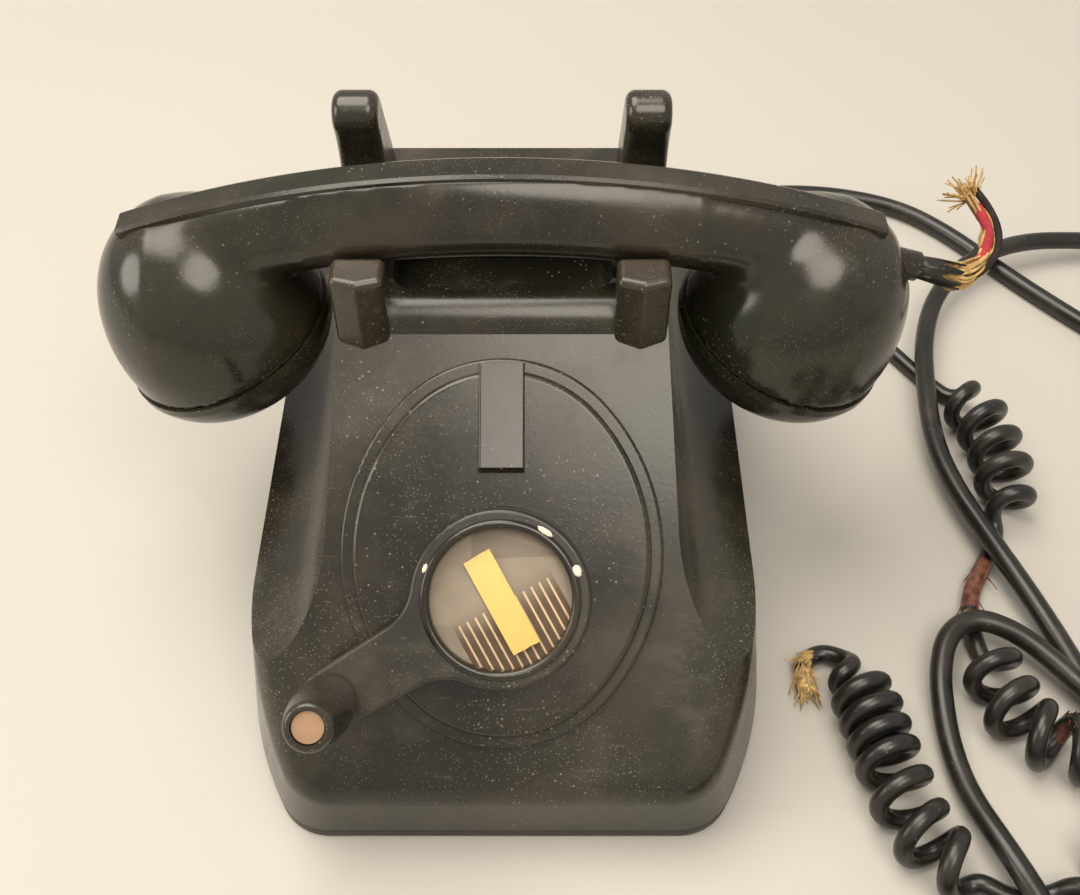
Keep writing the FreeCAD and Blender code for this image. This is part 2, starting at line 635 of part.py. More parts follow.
def clamp_bars():
    bars, screws = [], []
    deep = s("wall") + s("bar_thick")
    half = s("bar_width") / 2
    for name, y in bar_places():
        rail = box("bar_" + name, (-s("bar_half"), s("bar_half")), (y - half, y + half), (-deep, -s("wall")))
        tools = []
        for side in (-1, 1):
            spot = at(s("bar_screw_x") * side, y, -deep)
            mark = "%s_%d" % (name, side)
            thread = s("bar_screw_radius")
            tools.append(cylinder("bar_hole_" + mark, thread, deep, spot))
            shank = cylinder("bar_shank_" + mark, thread, deep - s("plate_under"), spot)
            under = at(s("bar_screw_x") * side, y, -deep - thread)
            head = cylinder("bar_head_" + mark, thread * 2, thread, under)
            screws.append(fuse("bar_screw_" + mark, shank, head))
        bars.append(cut("bar_drilled_" + name, rail, *tools))
    keep("clamp_bars", group("clamp_bars", *bars), PLATE)
    keep("clamp_screws", group("clamp_screws", *screws), PLATE)


def crank_arm():
    rise = s("arm_top") - s("arm_low")
    hub = cylinder("hub_disc", s("hub_radius"), rise, at(z=s("arm_low")))
    hub_reach, neck, blend = s("hub_radius"), s("arm_neck"), s("arm_fillet")
    span = hub_reach + blend
    run = root(span * span - (neck + blend) * (neck + blend))
    start_x = run * hub_reach / span
    start_y = (neck + blend) * hub_reach / span
    outline = [(-start_x, -start_y, -blend), (-start_x, start_y), (-run, neck, -blend),
               (-s("arm_length"), s("arm_end")), (-s("arm_length"), -s("arm_end"), s("arm_end") * ROUND_END),
               (-run, -neck)]
    lever = padded("arm_lever", "XY_Plane", outline, rise, s("arm_low"))
    blank = fuse("crank_blank", hub, lever)
    smooth = rounded("crank_smooth", blank, s("arm_round"), on_level(s("arm_top")))
    neck_boss = cylinder("hub_boss", s("hub_boss"), s("arm_low") - s("boss_low"), at(z=s("boss_low")))
    solid = fuse("crank_solid", smooth, neck_boss)
    recess = cylinder("label_recess", s("recess_radius"), rise, at(z=s("label_seat")))
    bore = cylinder("shaft_socket", s("shaft_radius"), s("shaft_end") - s("boss_low"), at(z=s("boss_low")))
    eye = cylinder("pin_eye", s("pin_radius"), s("arm_top"), at(x=-s("arm_length")))
    keep("crank_arm", cut("crank_arm", solid, recess, bore, eye), CRANK)


def crank_label():
    fit = s("recess_radius") - s("seat_gap")
    label_top = s("label_seat") + s("label_thick")
    window_top = label_top + s("window_thick")
    keep("label_disc", cylinder("label_disc", fit, s("label_thick")), CRANK + " * " + at(z=s("label_seat")))
    keep("label_window", cylinder("label_window", fit, s("window_thick")), CRANK + " * " + at(z=label_top))
    bead = s("bezel_rise")
    top = s("arm_top") + bead
    ring = [(s("bezel_inner"), window_top), (fit, window_top), (fit, s("arm_top")),
            (s("bezel_outer"), s("arm_top")), (s("bezel_outer") - bead, top, bead),
            (s("bezel_inner") + bead, top), (s("bezel_inner"), s("arm_top"), bead)]
    keep("bezel_ring", turned("bezel_ring", ring), CRANK)


def crank_knob():
    bore = s("pin_radius") + s("fit_gap")
    low, top = s("knob_low"), s("knob_top")
    edge, well = s("knob_edge"), top - s("knob_well_deep")
    grip = [(bore, low), (s("knob_base") - edge, low), (s("knob_base"), low + edge, edge),
            (s("knob_end"), top - s("knob_crown"), s("knob_swell")),
            (s("knob_lip"), top, s("knob_crown_radius")), (s("knob_well"), top), (s("knob_well"), well),
            (bore, well)]
    keep("knob_grip", turned("knob_grip", grip), KNOB)
    head_low = well + s("seat_gap") * 3
    stem = cylinder("pin_stem", s("pin_radius"), head_low - s("arm_low"), at(z=s("arm_low")))
    head = cylinder("pin_head", s("pin_head"), s("pin_head_thick"), at(z=head_low))
    keep("knob_pin", fuse("knob_pin", stem, head), KNOB)


def drive_shaft():
    low = s("frame_deep") + s("frame_thick")
    shaft = cylinder("drive_shaft", s("shaft_radius"), s("shaft_end") + low)
    keep("drive_shaft", shaft, CRANK + " * " + at(z=-low))


def toothed(label, teeth, bore, low, thick, frame, shift):
    """A spur wheel with straight-flanked teeth, thinned for backlash."""
    module = s("tooth_module").value
    pitch = teeth * module / 2
    add, ded = s("tooth_tip").value * module, s("tooth_root").value * module
    lean = math.tan(math.radians(s("tooth_angle").value))
    half = math.pi * module / 4 - s("tooth_play").value * module
    points = []
    for index in range(teeth):
        middle = 2 * math.pi * (index + shift) / teeth
        for radius, width in ((pitch - ded, half + ded * lean), (pitch + add, half - add * lean),
                              (pitch + add, add * lean - half), (pitch - ded, -half - ded * lean)):
            angle = middle - width / radius
            points.append(FreeCAD.Vector(radius * math.cos(angle), radius * math.sin(angle), low))
    blank = Part.Face(Part.makePolygon(points + points[:1])).extrude(FreeCAD.Vector(0, 0, thick))
    hole = Part.makeCylinder(bore, thick, FreeCAD.Vector(0, 0, low))
    thing = doc.addObject("Part::Feature", label)
    thing.Shape = blank.cut(hole)
    keep(label, thing, frame)


def gear_train():
    teeth, small = int(s("gear_teeth").value), int(s("pinion_teeth").value)
    low = -(s("gear_top") + s("gear_thick")).value
    thick = s("gear_thick").value
    extra = s("pinion_extra").value
    turn = s("crank_angle").value / 360
    toothed("drive_gear", teeth, s("shaft_radius").value, low, thick, CRANK, teeth * (0.25 - turn))
    shaft = s("armature_shaft").value
    toothed("pinion", small, shaft, low - extra / 2, thick + extra, ARMATURE, small * 0.75 + 0.5)


# Magneto

def magneto_frame():
    deep = s("frame_deep") + s("frame_thick")
    tall = (-s("frame_low"), s("frame_high"))
    wide = (-s("frame_half"), s("frame_half"))
    rear = deep + s("magneto_length")
    bearing = s("bearing_radius")
    front = box("front_slab", wide, tall, (-deep, -s("frame_deep")))
    holes = [cylinder("front_shaft_hole", s("shaft_radius") + s("fit_gap"), deep, at(z=-deep)),
             cylinder("front_bearing_hole", bearing, deep, at(y=GEAR_SPACING, z=-deep))]
    keep("magneto_front_plate", cut("magneto_front_plate", front, *holes), PLATE)
    pole = s("pole_half_tall")
    back = box("rear_slab", (-s("pole_outer"), s("pole_outer")), (GEAR_SPACING - pole, GEAR_SPACING + pole),
               (-rear - s("frame_thick"), -rear))
    hole = cylinder("rear_bearing_hole", bearing, deep, at(y=GEAR_SPACING, z=-rear - s("frame_thick")))
    keep("magneto_rear_plate", cut("magneto_rear_plate", back, hole), PLATE)
    bushes = []
    for name, low in (("front", -deep), ("rear", -rear - s("frame_thick"))):
        outer = cylinder("bearing_" + name, bearing, s("frame_thick"), at(y=GEAR_SPACING, z=low))
        bore = cylinder("bearing_bore_" + name, s("armature_shaft") + s("fit_gap"), s("frame_thick"),
                        at(y=GEAR_SPACING, z=low))
        bushes.append(cut("bearing_bush_" + name, outer, bore))
    keep("magneto_bearings", group("magneto_bearings", *bushes), PLATE)
    shoes = []
    for side in (-1, 1):
        ends = (s("pole_inner"), s("pole_outer")) if side > 0 else (-s("pole_outer"), -s("pole_inner"))
        block = box("pole_block_%d" % side, ends, (GEAR_SPACING - pole, GEAR_SPACING + pole), (-rear, -deep))
        bore = cylinder("pole_bore_%d" % side, s("armature_radius") + s("air_gap"), s("magneto_length"),
                        at(y=GEAR_SPACING, z=-rear))
        shoes.append(cut("pole_shoe_%d" % side, block, bore))
    keep("pole_pieces", group("pole_pieces", *shoes), PLATE)
    inner = s("pole_outer")
    outer = inner + s("magnet_thick")
    knee = GEAR_SPACING - pole
    high = GEAR_SPACING + pole
    arch = [(inner, high), (inner, knee), (0, knee - inner, -inner), (-inner, knee, -inner), (-inner, high),
            (-outer, high), (-outer, knee), (0, knee - outer, outer), (outer, knee, outer), (outer, high)]
    magnets = []
    for index in range(int(s("magnet_count").value)):
        low = -rear + s("magnet_gap") / 2 + (s("magnet_width") + s("magnet_gap")) * index
        magnets.append(padded("magnet_%d" % index, "XY_Plane", arch, s("magnet_width"), low))
    keep("magnets", group("magnets", *magnets), PLATE)
    pillars = []
    for side in (-1, 1):
        for name, y in (("high", s("pillar_high")), ("low", -s("pillar_low"))):
            spot = at(s("pillar_x") * side, y, -s("frame_deep"))
            pillars.append(cylinder("pillar_%s_%d" % (name, side), s("pillar_radius"),
                                    s("frame_deep") - s("plate_under"), spot))
    keep("magneto_pillars", group("magneto_pillars", *pillars), PLATE)


def armature():
    deep = s("frame_deep") + s("frame_thick")
    low = -(deep + s("magneto_length") - s("armature_margin"))
    length = s("magneto_length") - s("armature_margin") * 2
    radius = s("armature_radius")
    drum = cylinder("armature_drum", radius, length, at(z=low))
    slots, coils = [], []
    for side in (-1, 1):
        reach = (s("slot_web"), radius * 2) if side > 0 else (-radius * 2, -s("slot_web"))
        tall = (-s("slot_half"), s("slot_half"))
        slots.append(box("slot_%d" % side, reach, tall, (low, low + length)))
        filler = box("slot_fill_%d" % side, reach, tall, (low, low + length))
        rim = cylinder("slot_rim_%d" % side, radius - s("air_gap") * 2, length, at(z=low))
        coils.append(common("slot_coil_%d" % side, filler, rim))
    bore = cylinder("armature_bore", s("armature_shaft"), length, at(z=low))
    keep("armature_core", cut("armature_core", drum, *slots, bore), ARMATURE)
    keep("armature_winding", group("armature_winding", *coils), ARMATURE)
    end = -(deep + s("magneto_length") + s("frame_thick"))
    top = s("gear_top") - s("pinion_extra")
    axle = cylinder("armature_shaft", s("armature_shaft"), -end - top)
    keep("armature_shaft", axle, ARMATURE + " * " + at(z=end))


# Hook switch

def hook_switch():
    yoke_top = s("yoke_low") + s("yoke_thick")
    pins = [cylinder("plunger_%d" % side, s("plunger_radius"), s("plunger_top") - yoke_top,
                     at(s("plunger_x") * side, HANDSET_Y, yoke_top)) for side in (-1, 1)]
    domed = [rounded("plunger_domed_%d" % i, pin, s("plunger_radius") / 3,
                     on_level(s("plunger_top"))) for i, pin in enumerate(pins)]
    keep("plungers", group("plungers", *domed))
    half = s("yoke_half_deep")
    beam = box("plunger_yoke", (-s("yoke_half"), s("yoke_half")), (HANDSET_Y - half, HANDSET_Y + half),
               (s("yoke_low"), yoke_top))
    keep("plunger_yoke", beam)
    ceiling = s("scoop_floor") - s("wall")
    face = HANDSET_Y + s("bracket_near")
    keep("switch_bracket", box("switch_bracket", (-s("bracket_half"), s("bracket_half")),
                               (face, HANDSET_Y + s("bracket_far")), (s("bracket_low"), ceiling)))
    leaves = []
    for index in range(int(s("leaf_count").value)):
        top = s("yoke_low") - s("leaf_thick") - s("leaf_step") * index
        leaves.append(box("leaf_%d" % index, (-s("leaf_half"), s("leaf_half")),
                          (HANDSET_Y - s("leaf_reach"), face), (top - s("leaf_thick"), top)))
    keep("contact_springs", group("contact_springs", *leaves))


# Ringer and circuit

def ringer():
    floor = s("seam_height")
    back = BACK - s("gong_inset")
    y = back - s("coil_to_gong")
    strap_top = floor + s("frame_strap")
    far = y + s("strap_half_deep")
    strap = box("ringer_strap", (-s("strap_half"), s("strap_half")), (y - s("strap_half_deep"), far),
                (floor, strap_top))
    upright = box("ringer_upright", (-s("upright_half"), s("upright_half")), (far, far + s("upright_thick")),
                  (floor, s("pivot_height") + s("upright_half")))
    axis = at(0, y, s("pivot_height"), "1;0;0", -90)
    pivot = cylinder("pivot_hole", s("pivot_radius") + s("fit_gap"), s("base_half"), axis)
    keep("ringer_frame", cut("ringer_frame", fuse("ringer_blank", strap, upright), pivot))
    coils, cores = [], []
    for side in (-1, 1):
        x = s("coil_x") * side
        low = at(x, y, s("coil_low"))
        outer = cylinder("bell_coil_%d" % side, s("coil_radius"), s("coil_high") - s("coil_low"), low)
        bore = cylinder("bell_bore_%d" % side, s("core_radius"), s("coil_high"), low)
        coils.append(cut("bell_winding_%d" % side, outer, bore))
        long = s("core_top") - strap_top
        cores.append(cylinder("bell_core_%d" % side, s("core_radius"), long, at(x, y, strap_top)))
    keep("ringer_coils", group("ringer_coils", *coils))
    keep("ringer_cores", group("ringer_cores", *cores))
    radius, wall, rise = s("gong_radius"), s("gong_wall"), s("gong_high")
    bore = s("gong_screw") + s("fit_gap")
    outside = (radius * radius + rise * rise) / (2 * rise)
    small = (radius - wall) * (radius - wall)
    inside = (small + (rise - wall) * (rise - wall)) / (2 * (rise - wall))
    crown = rise - outside + root(outside * outside - bore * bore)
    vault = rise - wall - inside + root(inside * inside - bore * bore)
    bell = [(radius - wall, 0, -inside), (radius, 0), (bore, crown, outside), (bore, vault)]
    posts = []
    for name, side in (("left", -1), ("right", 1)):
        x = s("gong_x") * side
        keep("gong_" + name, turned("gong_" + name, bell), at(x, back, s("gong_low")))
        top = s("gong_low") + vault
        post = cylinder("gong_stem_" + name, s("gong_post"), top - floor - wall / 4, at(x, back, floor))
        pin = cylinder("gong_pin_" + name, s("gong_screw"), rise, at(x, back, top - wall / 4))
        posts.append(fuse("gong_post_" + name, post, pin))
    keep("gong_posts", group("gong_posts", *posts))
    clapper(y, far, back)


def clapper(y, far, back):
    height = s("pivot_height")
    half = s("clapper_thick") / 2
    bar = box("clapper_bar", (-s("clapper_half"), s("clapper_half")),
              (y - s("clapper_deep"), y + s("clapper_deep")), (height - half, height + half))
    end = far + s("upright_thick") + s("bar_gap")
    pin = cylinder("clapper_pin", s("pivot_radius"), end - y, at(0, y, height, "1;0;0", -90))
    drop = height - s("ball_height")
    reach = back - end
    length = root(drop * drop + reach * reach)
    lean = 180 - math.degrees(math.atan2(reach.value, drop.value))
    rod = cylinder("clapper_rod", s("rod_radius"), length, at(0, end, height, "1;0;0", -lean))
    ball = sphere("clapper_ball", s("ball_radius"), at(0, back, s("ball_height")))
    joint = sphere("clapper_elbow", s("pivot_radius"), at(0, end, height))
    keep("clapper", fuse("clapper", bar, pin, rod, ball, joint))


def circuit():
    floor = s("seam_height")
    middle = floor + s("flange_half")
    near = behind(s("winding_front"))
    x = s("winding_inset") - s("base_half")
    thick = s("flange_thick")
    length = s("winding_length")
    wide = (x - s("flange_half"), x + s("flange_half"))
    tall = (floor, floor + s("flange_half") * 2)
    ends = [box("flange_near", wide, (near - thick, near), tall),
            box("flange_far", wide, (near + length, near + length + thick), tall)]
    spool = cylinder("spool", s("winding_radius"), length, at(x, near, middle, "1;0;0", -90))
    start = near - thick - s("iron_extra")
    iron_length = length + thick * 2 + s("iron_extra") * 2
    axis = at(x, start, middle, "1;0;0", -90)
    bore = cylinder("iron_hole", s("iron_radius") + s("fit_gap"), iron_length, axis)
    keep("induction_coil", cut("induction_coil", fuse("coil_blank", spool, *ends), bore))
    keep("coil_iron", cylinder("coil_iron", s("iron_radius"), iron_length, axis))
    right = s("base_half") - s("capacitor_inset")
    front = behind(s("capacitor_front"))
    can = box("capacitor_can", (right - s("capacitor_wide"), right), (front, front + s("capacitor_long")),
              (floor, floor + s("capacitor_high")))
    keep("capacitor", rounded("capacitor", can, s("capacitor_round"),
                              lambda edge: max(p.z for p in edge_points(edge)) > floor.value + 1))
    edge = s("base_half") - s("strip_inset")
    strip_x = (edge - s("strip_wide"), edge)
    strip_y = (behind(s("strip_front")), behind(s("strip_front") + s("strip_long")))
    top = floor + s("strip_high")
    strip = box("strip_block", strip_x, strip_y, (floor, top))
    count = int(s("terminal_count").value)
    holes, screws = [], []
    for index in range(count):
        y = strip_y[0] + s("strip_long") * (index + 0.5) / count
        spot = at((strip_x[0] + strip_x[1]) / 2, y, top - s("terminal_deep"))
        slim = s("terminal_radius") / 2
        holes.append(cylinder("terminal_hole_%d" % index, slim, s("terminal_deep"), spot))
        shank = cylinder("terminal_shank_%d" % index, slim, s("terminal_deep"), spot)
        head = cylinder("terminal_head_%d" % index, s("terminal_radius"), s("terminal_thick"),
                        at((strip_x[0] + strip_x[1]) / 2, y, top))
        screws.append(fuse("terminal_screw_%d" % index, shank, head))
    keep("terminal_strip", cut("terminal_strip", strip, *holes))
    keep("terminal_screws", group("terminal_screws", *screws))


# Handset

def handset():
    """An arched handle with a flat spine, and a domed cup at each end."""
    up, down, half, spine = s("handle_up"), s("handle_down"), s("handle_half"), s("spine_half")
    base = s("handle_center")
    belly = (half * half + down * down) / (2 * down)
    cheek = s("cheek_radius")
    section = [(-spine, base + up), (-half, base, cheek), (0, base - down, belly), (half, base, belly),
               (spine, base + up, cheek)]
    body = doc.addObject("PartDesign::Body", "handle")
    sketch = new_sketch(body, "handle_section", "YZ_Plane", section)
    spin = doc.addObject("Part::Revolution", "handle_arch")
    spin.Source = sketch
    spin.Axis = FreeCAD.Vector(0, 1, 0)
    spin.setExpression("Base.z", (base - s("arch_radius")).text)
    reach = math.degrees(math.asin(s("handle_reach").value / s("arch_radius").value))
    spin.Angle = reach * 2
    spin.Symmetric = True
    spin.Solid = True
    domes, bores = [], []
    for name, frame in (("ear", EAR), ("mouth", MOUTH)):
        local = frame.replace(HANDSET_Y.text, "0")
        skirt, wide = s("cup_skirt"), s("cup_radius")
        dome = doc.addObject("Part::Ellipsoid", name + "_dome")
        bind(dome, Radius1=s("cup_dome"), Radius2=wide, Radius3=wide)
        dome.Angle1 = 0
        domes.append(place(dome, local))
        low = local + " * " + at(z=-skirt)
        domes.append(cylinder(name + "_skirt", wide, skirt, low))
        bores.append(cylinder(name + "_bore", s("cup_bore"), s("cup_bore_deep") + skirt, low))
    hole = cylinder("stub_socket", s("stub_bush_radius"), s("stub_bush_length") * 2,
                    STUB.replace(HANDSET_Y.text, "0") + " * " + at(z=-s("stub_bush_length")))
    keep("handset_body", cut("handset_body", fuse("handset_blank", spin, *domes), *bores, hole), HANDSET)


def handset_caps():
    """Screwed caps with sound holes, and the capsules behind them."""
    top = -s("cup_skirt")
    rim = s("cup_radius") + s("cap_lip")
    low = top - s("cap_depth")
    wall = s("cap_wall")
    face, curve, inner = s("cap_face"), s("cap_curve"), s("cup_bore")
    dish = [(0, low), (face, low), (rim, top - wall, curve), (rim, top), (inner, top),
            (inner, top - wall), (face - wall, low + wall, -curve), (0, low + wall)]
    for label, frame, count in (("receiver", EAR, s("ear_holes")), ("transmitter", MOUTH, s("mouth_holes"))):
        cap = turned(label + "_dish", dish)
        holes = [cylinder(label + "_hole", s("hole_radius"), s("cap_depth"), at(z=low))]
        number = int(count.value)
        for index in range(number):
            turn = 2 * math.pi * index / number
            spot = at(s("hole_ring") * math.cos(turn), s("hole_ring") * math.sin(turn), low)
            holes.append(cylinder("%s_hole_%d" % (label, index), s("hole_radius"), s("cap_depth"), spot))
        keep(label + "_cap", cut(label + "_cap", cap, *holes), frame)
        base = top + s("cup_bore_deep") + s("cup_skirt") - s("capsule_thick")
        wide, lip = s("capsule_radius"), s("capsule_rim")
        can = [(0, base), (wide - lip, base), (wide, base + lip), (wide, base + s("capsule_thick")),
               (0, base + s("capsule_thick"))]
        keep(label + "_capsule", turned(label + "_capsule", can), frame)


# Glands and cords

def glands():
    for label, frame, wire in (("line_cord_gland", LINE_GLAND, s("line_radius")),
                               ("handset_cord_gland", CURL_GLAND, s("curl_wire"))):
        neck, flange, thick = s("gland_neck"), s("gland_flange"), s("gland_flange_thick")
        nose = thick + s("gland_nose")
        inside = -s("gland_inside")
        outline = [(0, inside), (neck, inside), (neck, 0), (flange, 0), (flange, thick), (neck, thick),
                   (wire + s("sleeve_extra"), nose), (0, nose)]
        keep(label, turned(label, outline), frame)


def gland_end(x, z):
    """Where a cord leaves its gland, and the way it points."""
    lean = math.radians(s("back_lean").value)
    out = FreeCAD.Vector(0, math.cos(lean), math.sin(lean))
    y = BACK.value - (z.value - s("seam_height").value) * math.tan(lean)
    nose = (s("gland_flange_thick") + s("gland_nose")).value
    return FreeCAD.Vector(x.value, y, z.value) + out * nose, out


def bent_path(points):
    """Straight runs joined by arcs as large as the runs allow, with the arcs' radii."""
    spots = [FreeCAD.Vector(*p) for p in points]
    edges, radii, start = [], [], spots[0]
    for index in range(1, len(spots) - 1):
        before, here, after = spots[index - 1:index + 2]
        way_in = (before - here).normalize()
        way_out = (after - here).normalize()
        inner = way_in.getAngle(way_out)
        trim = 0.45 * min(before.distanceToPoint(here), here.distanceToPoint(after))
        radius = trim * math.tan(inner / 2)
        first, last = here + way_in * trim, here + way_out * trim
        bisect = (way_in + way_out).normalize()
        middle = here + bisect * (radius / math.sin(inner / 2) - radius)
        edges.append(Part.LineSegment(start, first).toShape())
        edges.append(Part.Arc(first, middle, last).toShape())
        radii.append(radius)
        start = last
    edges.append(Part.LineSegment(start, spots[-1]).toShape())
    return Part.Wire(edges), radii


def swept(label, wire, radius):
    """A round tube along a wire."""
    first = wire.Edges[0]
    start = first.valueAt(first.FirstParameter)
    way = first.tangentAt(first.FirstParameter)
    ring = Part.Wire(Part.Circle(start, way, radius).toShape())
    tube = wire.makePipeShell([ring], True, False)
    thing = doc.addObject("Part::Feature", label)
    thing.Shape = tube
    share = tube.Volume / (math.pi * radius * radius * wire.Length)
    print("%s: length %.0f mm, volume %.4f of section times length" % (label, wire.Length, share))
    keep(label, thing)
    return tube


def biarcs(nodes):
    """Pairs of tangent arcs through points with directions."""
    edges = []
    for (start, way), (end, way_end) in zip(nodes, nodes[1:]):
        span = end - start
        total = way + way_end
        spread = 2 * (1 - way.dot(way_end))
        dot = span.dot(total)
        if spread < 1e-9:
            reach = span.dot(span) / (2 * dot)
        else:
            reach = (-dot + math.sqrt(dot * dot + spread * span.dot(span))) / spread
        corners = [start + way * reach, end - way_end * reach]
        middle = (corners[0] + corners[1]) * 0.5
        for first, corner, last in ((start, corners[0], middle), (middle, corners[1], end)):
            chord = (first + last) * 0.5
            rise = corner - chord
            half = first.distanceToPoint(chord)
            if rise.Length < 1e-4 * half:
                edges.append(Part.LineSegment(first, last).toShape())
                continue
            bend = math.atan2(rise.Length, half)
            top = chord + rise.normalize() * (half * math.tan(bend / 2))
            edges.append(Part.Arc(first, top, last).toShape())
    return Part.Wire(edges)


def least_gap(points, wire, skip):
    """The least room between parts of one tube that lie apart along it."""
    least = 1e9
    for i, point in enumerate(points):
        for other in points[i + skip:]:
            least = min(least, point.distanceToPoint(other))
    return least - 2 * wire


LINE_ROUTE = [
    (25, 152, 14.5), (41, 168, 7), (62, 180, 4), (88, 190, 3.7), (117, 195, 3.7), (145, 193, 3.7),
    (171, 184, 3.7), (190, 166, 3.7), (205, 145, 3.7), (222, 124, 3.7), (242, 102, 3.7), (265, 80, 3.7),
    (296, 77, 3.7), (318, 98, 3.7), (319, 129, 3.7), (299, 151, 4.5), (268, 157, 7), (239, 156, 10),
    (214, 153, 11.8), (191, 142, 11.8), (173, 123, 11), (163, 98, 10.6), (159, 72, 10.2), (157, 46, 9.5),
    (160, 24, 10), (167, 2, 10.6), (175, -18, 9.5), (182, -37, 8), (188, -54, 5.5), (197, -73, 3.7),
    (211, -95, 3.7), (221, -120, 3.7), (237, -144, 3.7), (264, -150, 3.7), (284, -131, 3.7),
    (280, -104, 5.5), (256, -90, 9), (228, -87, 11.6), (204, -80, 12), (187, -62, 11.2), (177, -47, 10.8),
    (167, -36, 10.6), (155, -31, 10.6), (145, -37, 9.8), (140.5, -50, 8), (139.5, -64, 6),
    (140, -78, 4.5), (142, -92, 6), (147, -108, 10), (153, -123, 10.6),
]
LEAD_ROUTE = [(52, 151, 12.5), (70, 159, 6), (94, 155, 3.2), (119, 141, 3.1), (139, 119, 3.05)]
CURL_ROUTE = [
    (152, 97, 0), (160, 84, 0), (167, 75, 0), (173, 64, 1), (177, 50, 1), (179, 34, 1), (178, 18, 1),
    (174, 6, 0), (167, -4, 0), (159, -16, 0), (156, -28, 0), (157, -38, 0), (157.5, -49, 1),
    (158, -62, 1), (165, -74, 1), (178, -80, 1), (187, -86, 0), (190, -95, 0), (188, -105, 1),
    (178, -117, 1), (166, -122, 0.4), (156, -123, 0), (147, -122, 0), (138, -120, 0.4), (129, -114, 1),
    (122, -103, 1), (119, -90, 1), (116, -74, 1), (113, -58, 1), (111, -47, 0.3), (107, -40, 0),
    (100, -37, 0), (96, -45, 0), (98, -56, 0),
]


def spline_points(points, count):
    """Points and share of the way along a smooth curve that the route's points pull on."""
    curve = Part.BSplineCurve()
    poles = [FreeCAD.Vector(*p) for p in points]
    inner = len(poles) - 2
    curve.buildFromPolesMultsKnots(poles, [3] + [1] * (inner - 1) + [3], list(range(inner + 1)), False, 2)
    return [curve.value(inner * i / count) for i in range(count + 1)]


def curl_nodes():
    """Points and directions along the curly cord: straight leads, and curls at a loose or tight pitch."""
    wire, coil, gap = s("curl_wire").value, s("curl_radius").value, s("table_gap").value
    axis = spline_points(CURL_ROUTE, 4000)
    lengths = [0.0]
    for a, b in zip(axis, axis[1:]):
        lengths.append(lengths[-1] + math.hypot(b.x - a.x, b.y - a.y))
    tight_from = lengths[-1] - s("tight_length").value - s("torn_tail").value
    phases = [0.0]
    for index, (a, b) in enumerate(zip(lengths, lengths[1:])):
        pitch = s("tight_pitch").value if a > tight_from else s("loose_pitch").value
        share = min(max(axis[index].z, 0.0), 1.0)
        phases.append(phases[-1] + 2 * math.pi * share * (b - a) / pitch)
    path = []
    for index, spot in enumerate(axis):
        near, far = axis[max(index - 1, 0)], axis[min(index + 1, len(axis) - 1)]
        way = math.atan2(far.y - near.y, far.x - near.x)
        swell = coil * min(max(spot.z, 0.0), 1.0)
        side = swell * math.sin(phases[index])
        rise = swell * (1 - math.cos(phases[index]))
        aside = FreeCAD.Vector(-math.sin(way), math.cos(way), 0) * side
        path.append(FreeCAD.Vector(spot.x, spot.y, wire + gap + rise) + aside)
    nodes, turn, run = [], 0.0, 0.0
    for index, spot in enumerate(path):
        quarter = phases[index] - turn >= math.pi / 2
        if not (quarter or lengths[index] - run >= 3 * wire or index in (0, len(path) - 1)):
            continue
        before, after = path[max(index - 2, 0)], path[min(index + 2, len(path) - 1)]
        nodes.append((spot, (after - before).normalize()))
        turn, run = phases[index], lengths[index]
    if nodes[-1][0].distanceToPoint(nodes[-2][0]) < wire:
        del nodes[-2]
    return nodes


def handset_cord():
    wire = s("curl_wire").value
    nodes = curl_nodes()
    start, out = gland_end(s("curl_gland_x"), s("curl_gland_z"))
    first = nodes[0][0]
    approach = first - nodes[0][1] * s("lead_run").value
    route = [start, start + out * s("lead_run").value] + LEAD_ROUTE + [approach, first]
    path, radii = bent_path(route)
    print("lead radii", [round(r) for r in radii])
    swept("handset_cord_lead", path, wire)
    curls = biarcs(nodes)
    bends = [edge.Curve.Radius for edge in curls.Edges if hasattr(edge.Curve, "Radius")]
    print("least curl radius %.2f mm" % min(bends))
    points = curls.discretize(Distance=s("curl_step").value)
    print("handset cord least gap to itself %.2f mm" % least_gap(points, wire, 8))
    swept("handset_cord", curls, wire)


def coil_nodes(start_angle):
    """A flat coil that winds in on the table and out again one layer higher."""
    radius, spacing = s("coil_turn_radius").value, s("coil_spacing").value
    loops = int(s("coil_loops").value)
    low = s("line_radius").value + s("table_gap").value * 2
    center = FreeCAD.Vector(s("coil_center_x").value, s("coil_center_y").value, 0)
    nodes = []
    steps = loops * 8
    for index in range(steps + 1):
        turn = index / 4
        inward = min(turn, loops) if turn <= loops else 2 * loops - turn
        climb = min(max((turn - loops + 0.25) / 0.5, 0.0), 1.0)
        far = radius + spacing * (loops / 2 - inward)
        angle = start_angle - 2 * math.pi * turn
        out = FreeCAD.Vector(math.cos(angle), math.sin(angle), 0)
        along = FreeCAD.Vector(math.sin(angle), -math.cos(angle), 0)
        slide = 0 if turn == loops else spacing / (2 * math.pi) * (-1 if turn < loops else 1)
        lift = spacing / math.pi if 0 < climb < 1 else 0
        way = along * far + out * slide + FreeCAD.Vector(0, 0, lift)
        nodes.append((center + out * far + FreeCAD.Vector(0, 0, low + spacing * climb), way.normalize()))
    return nodes


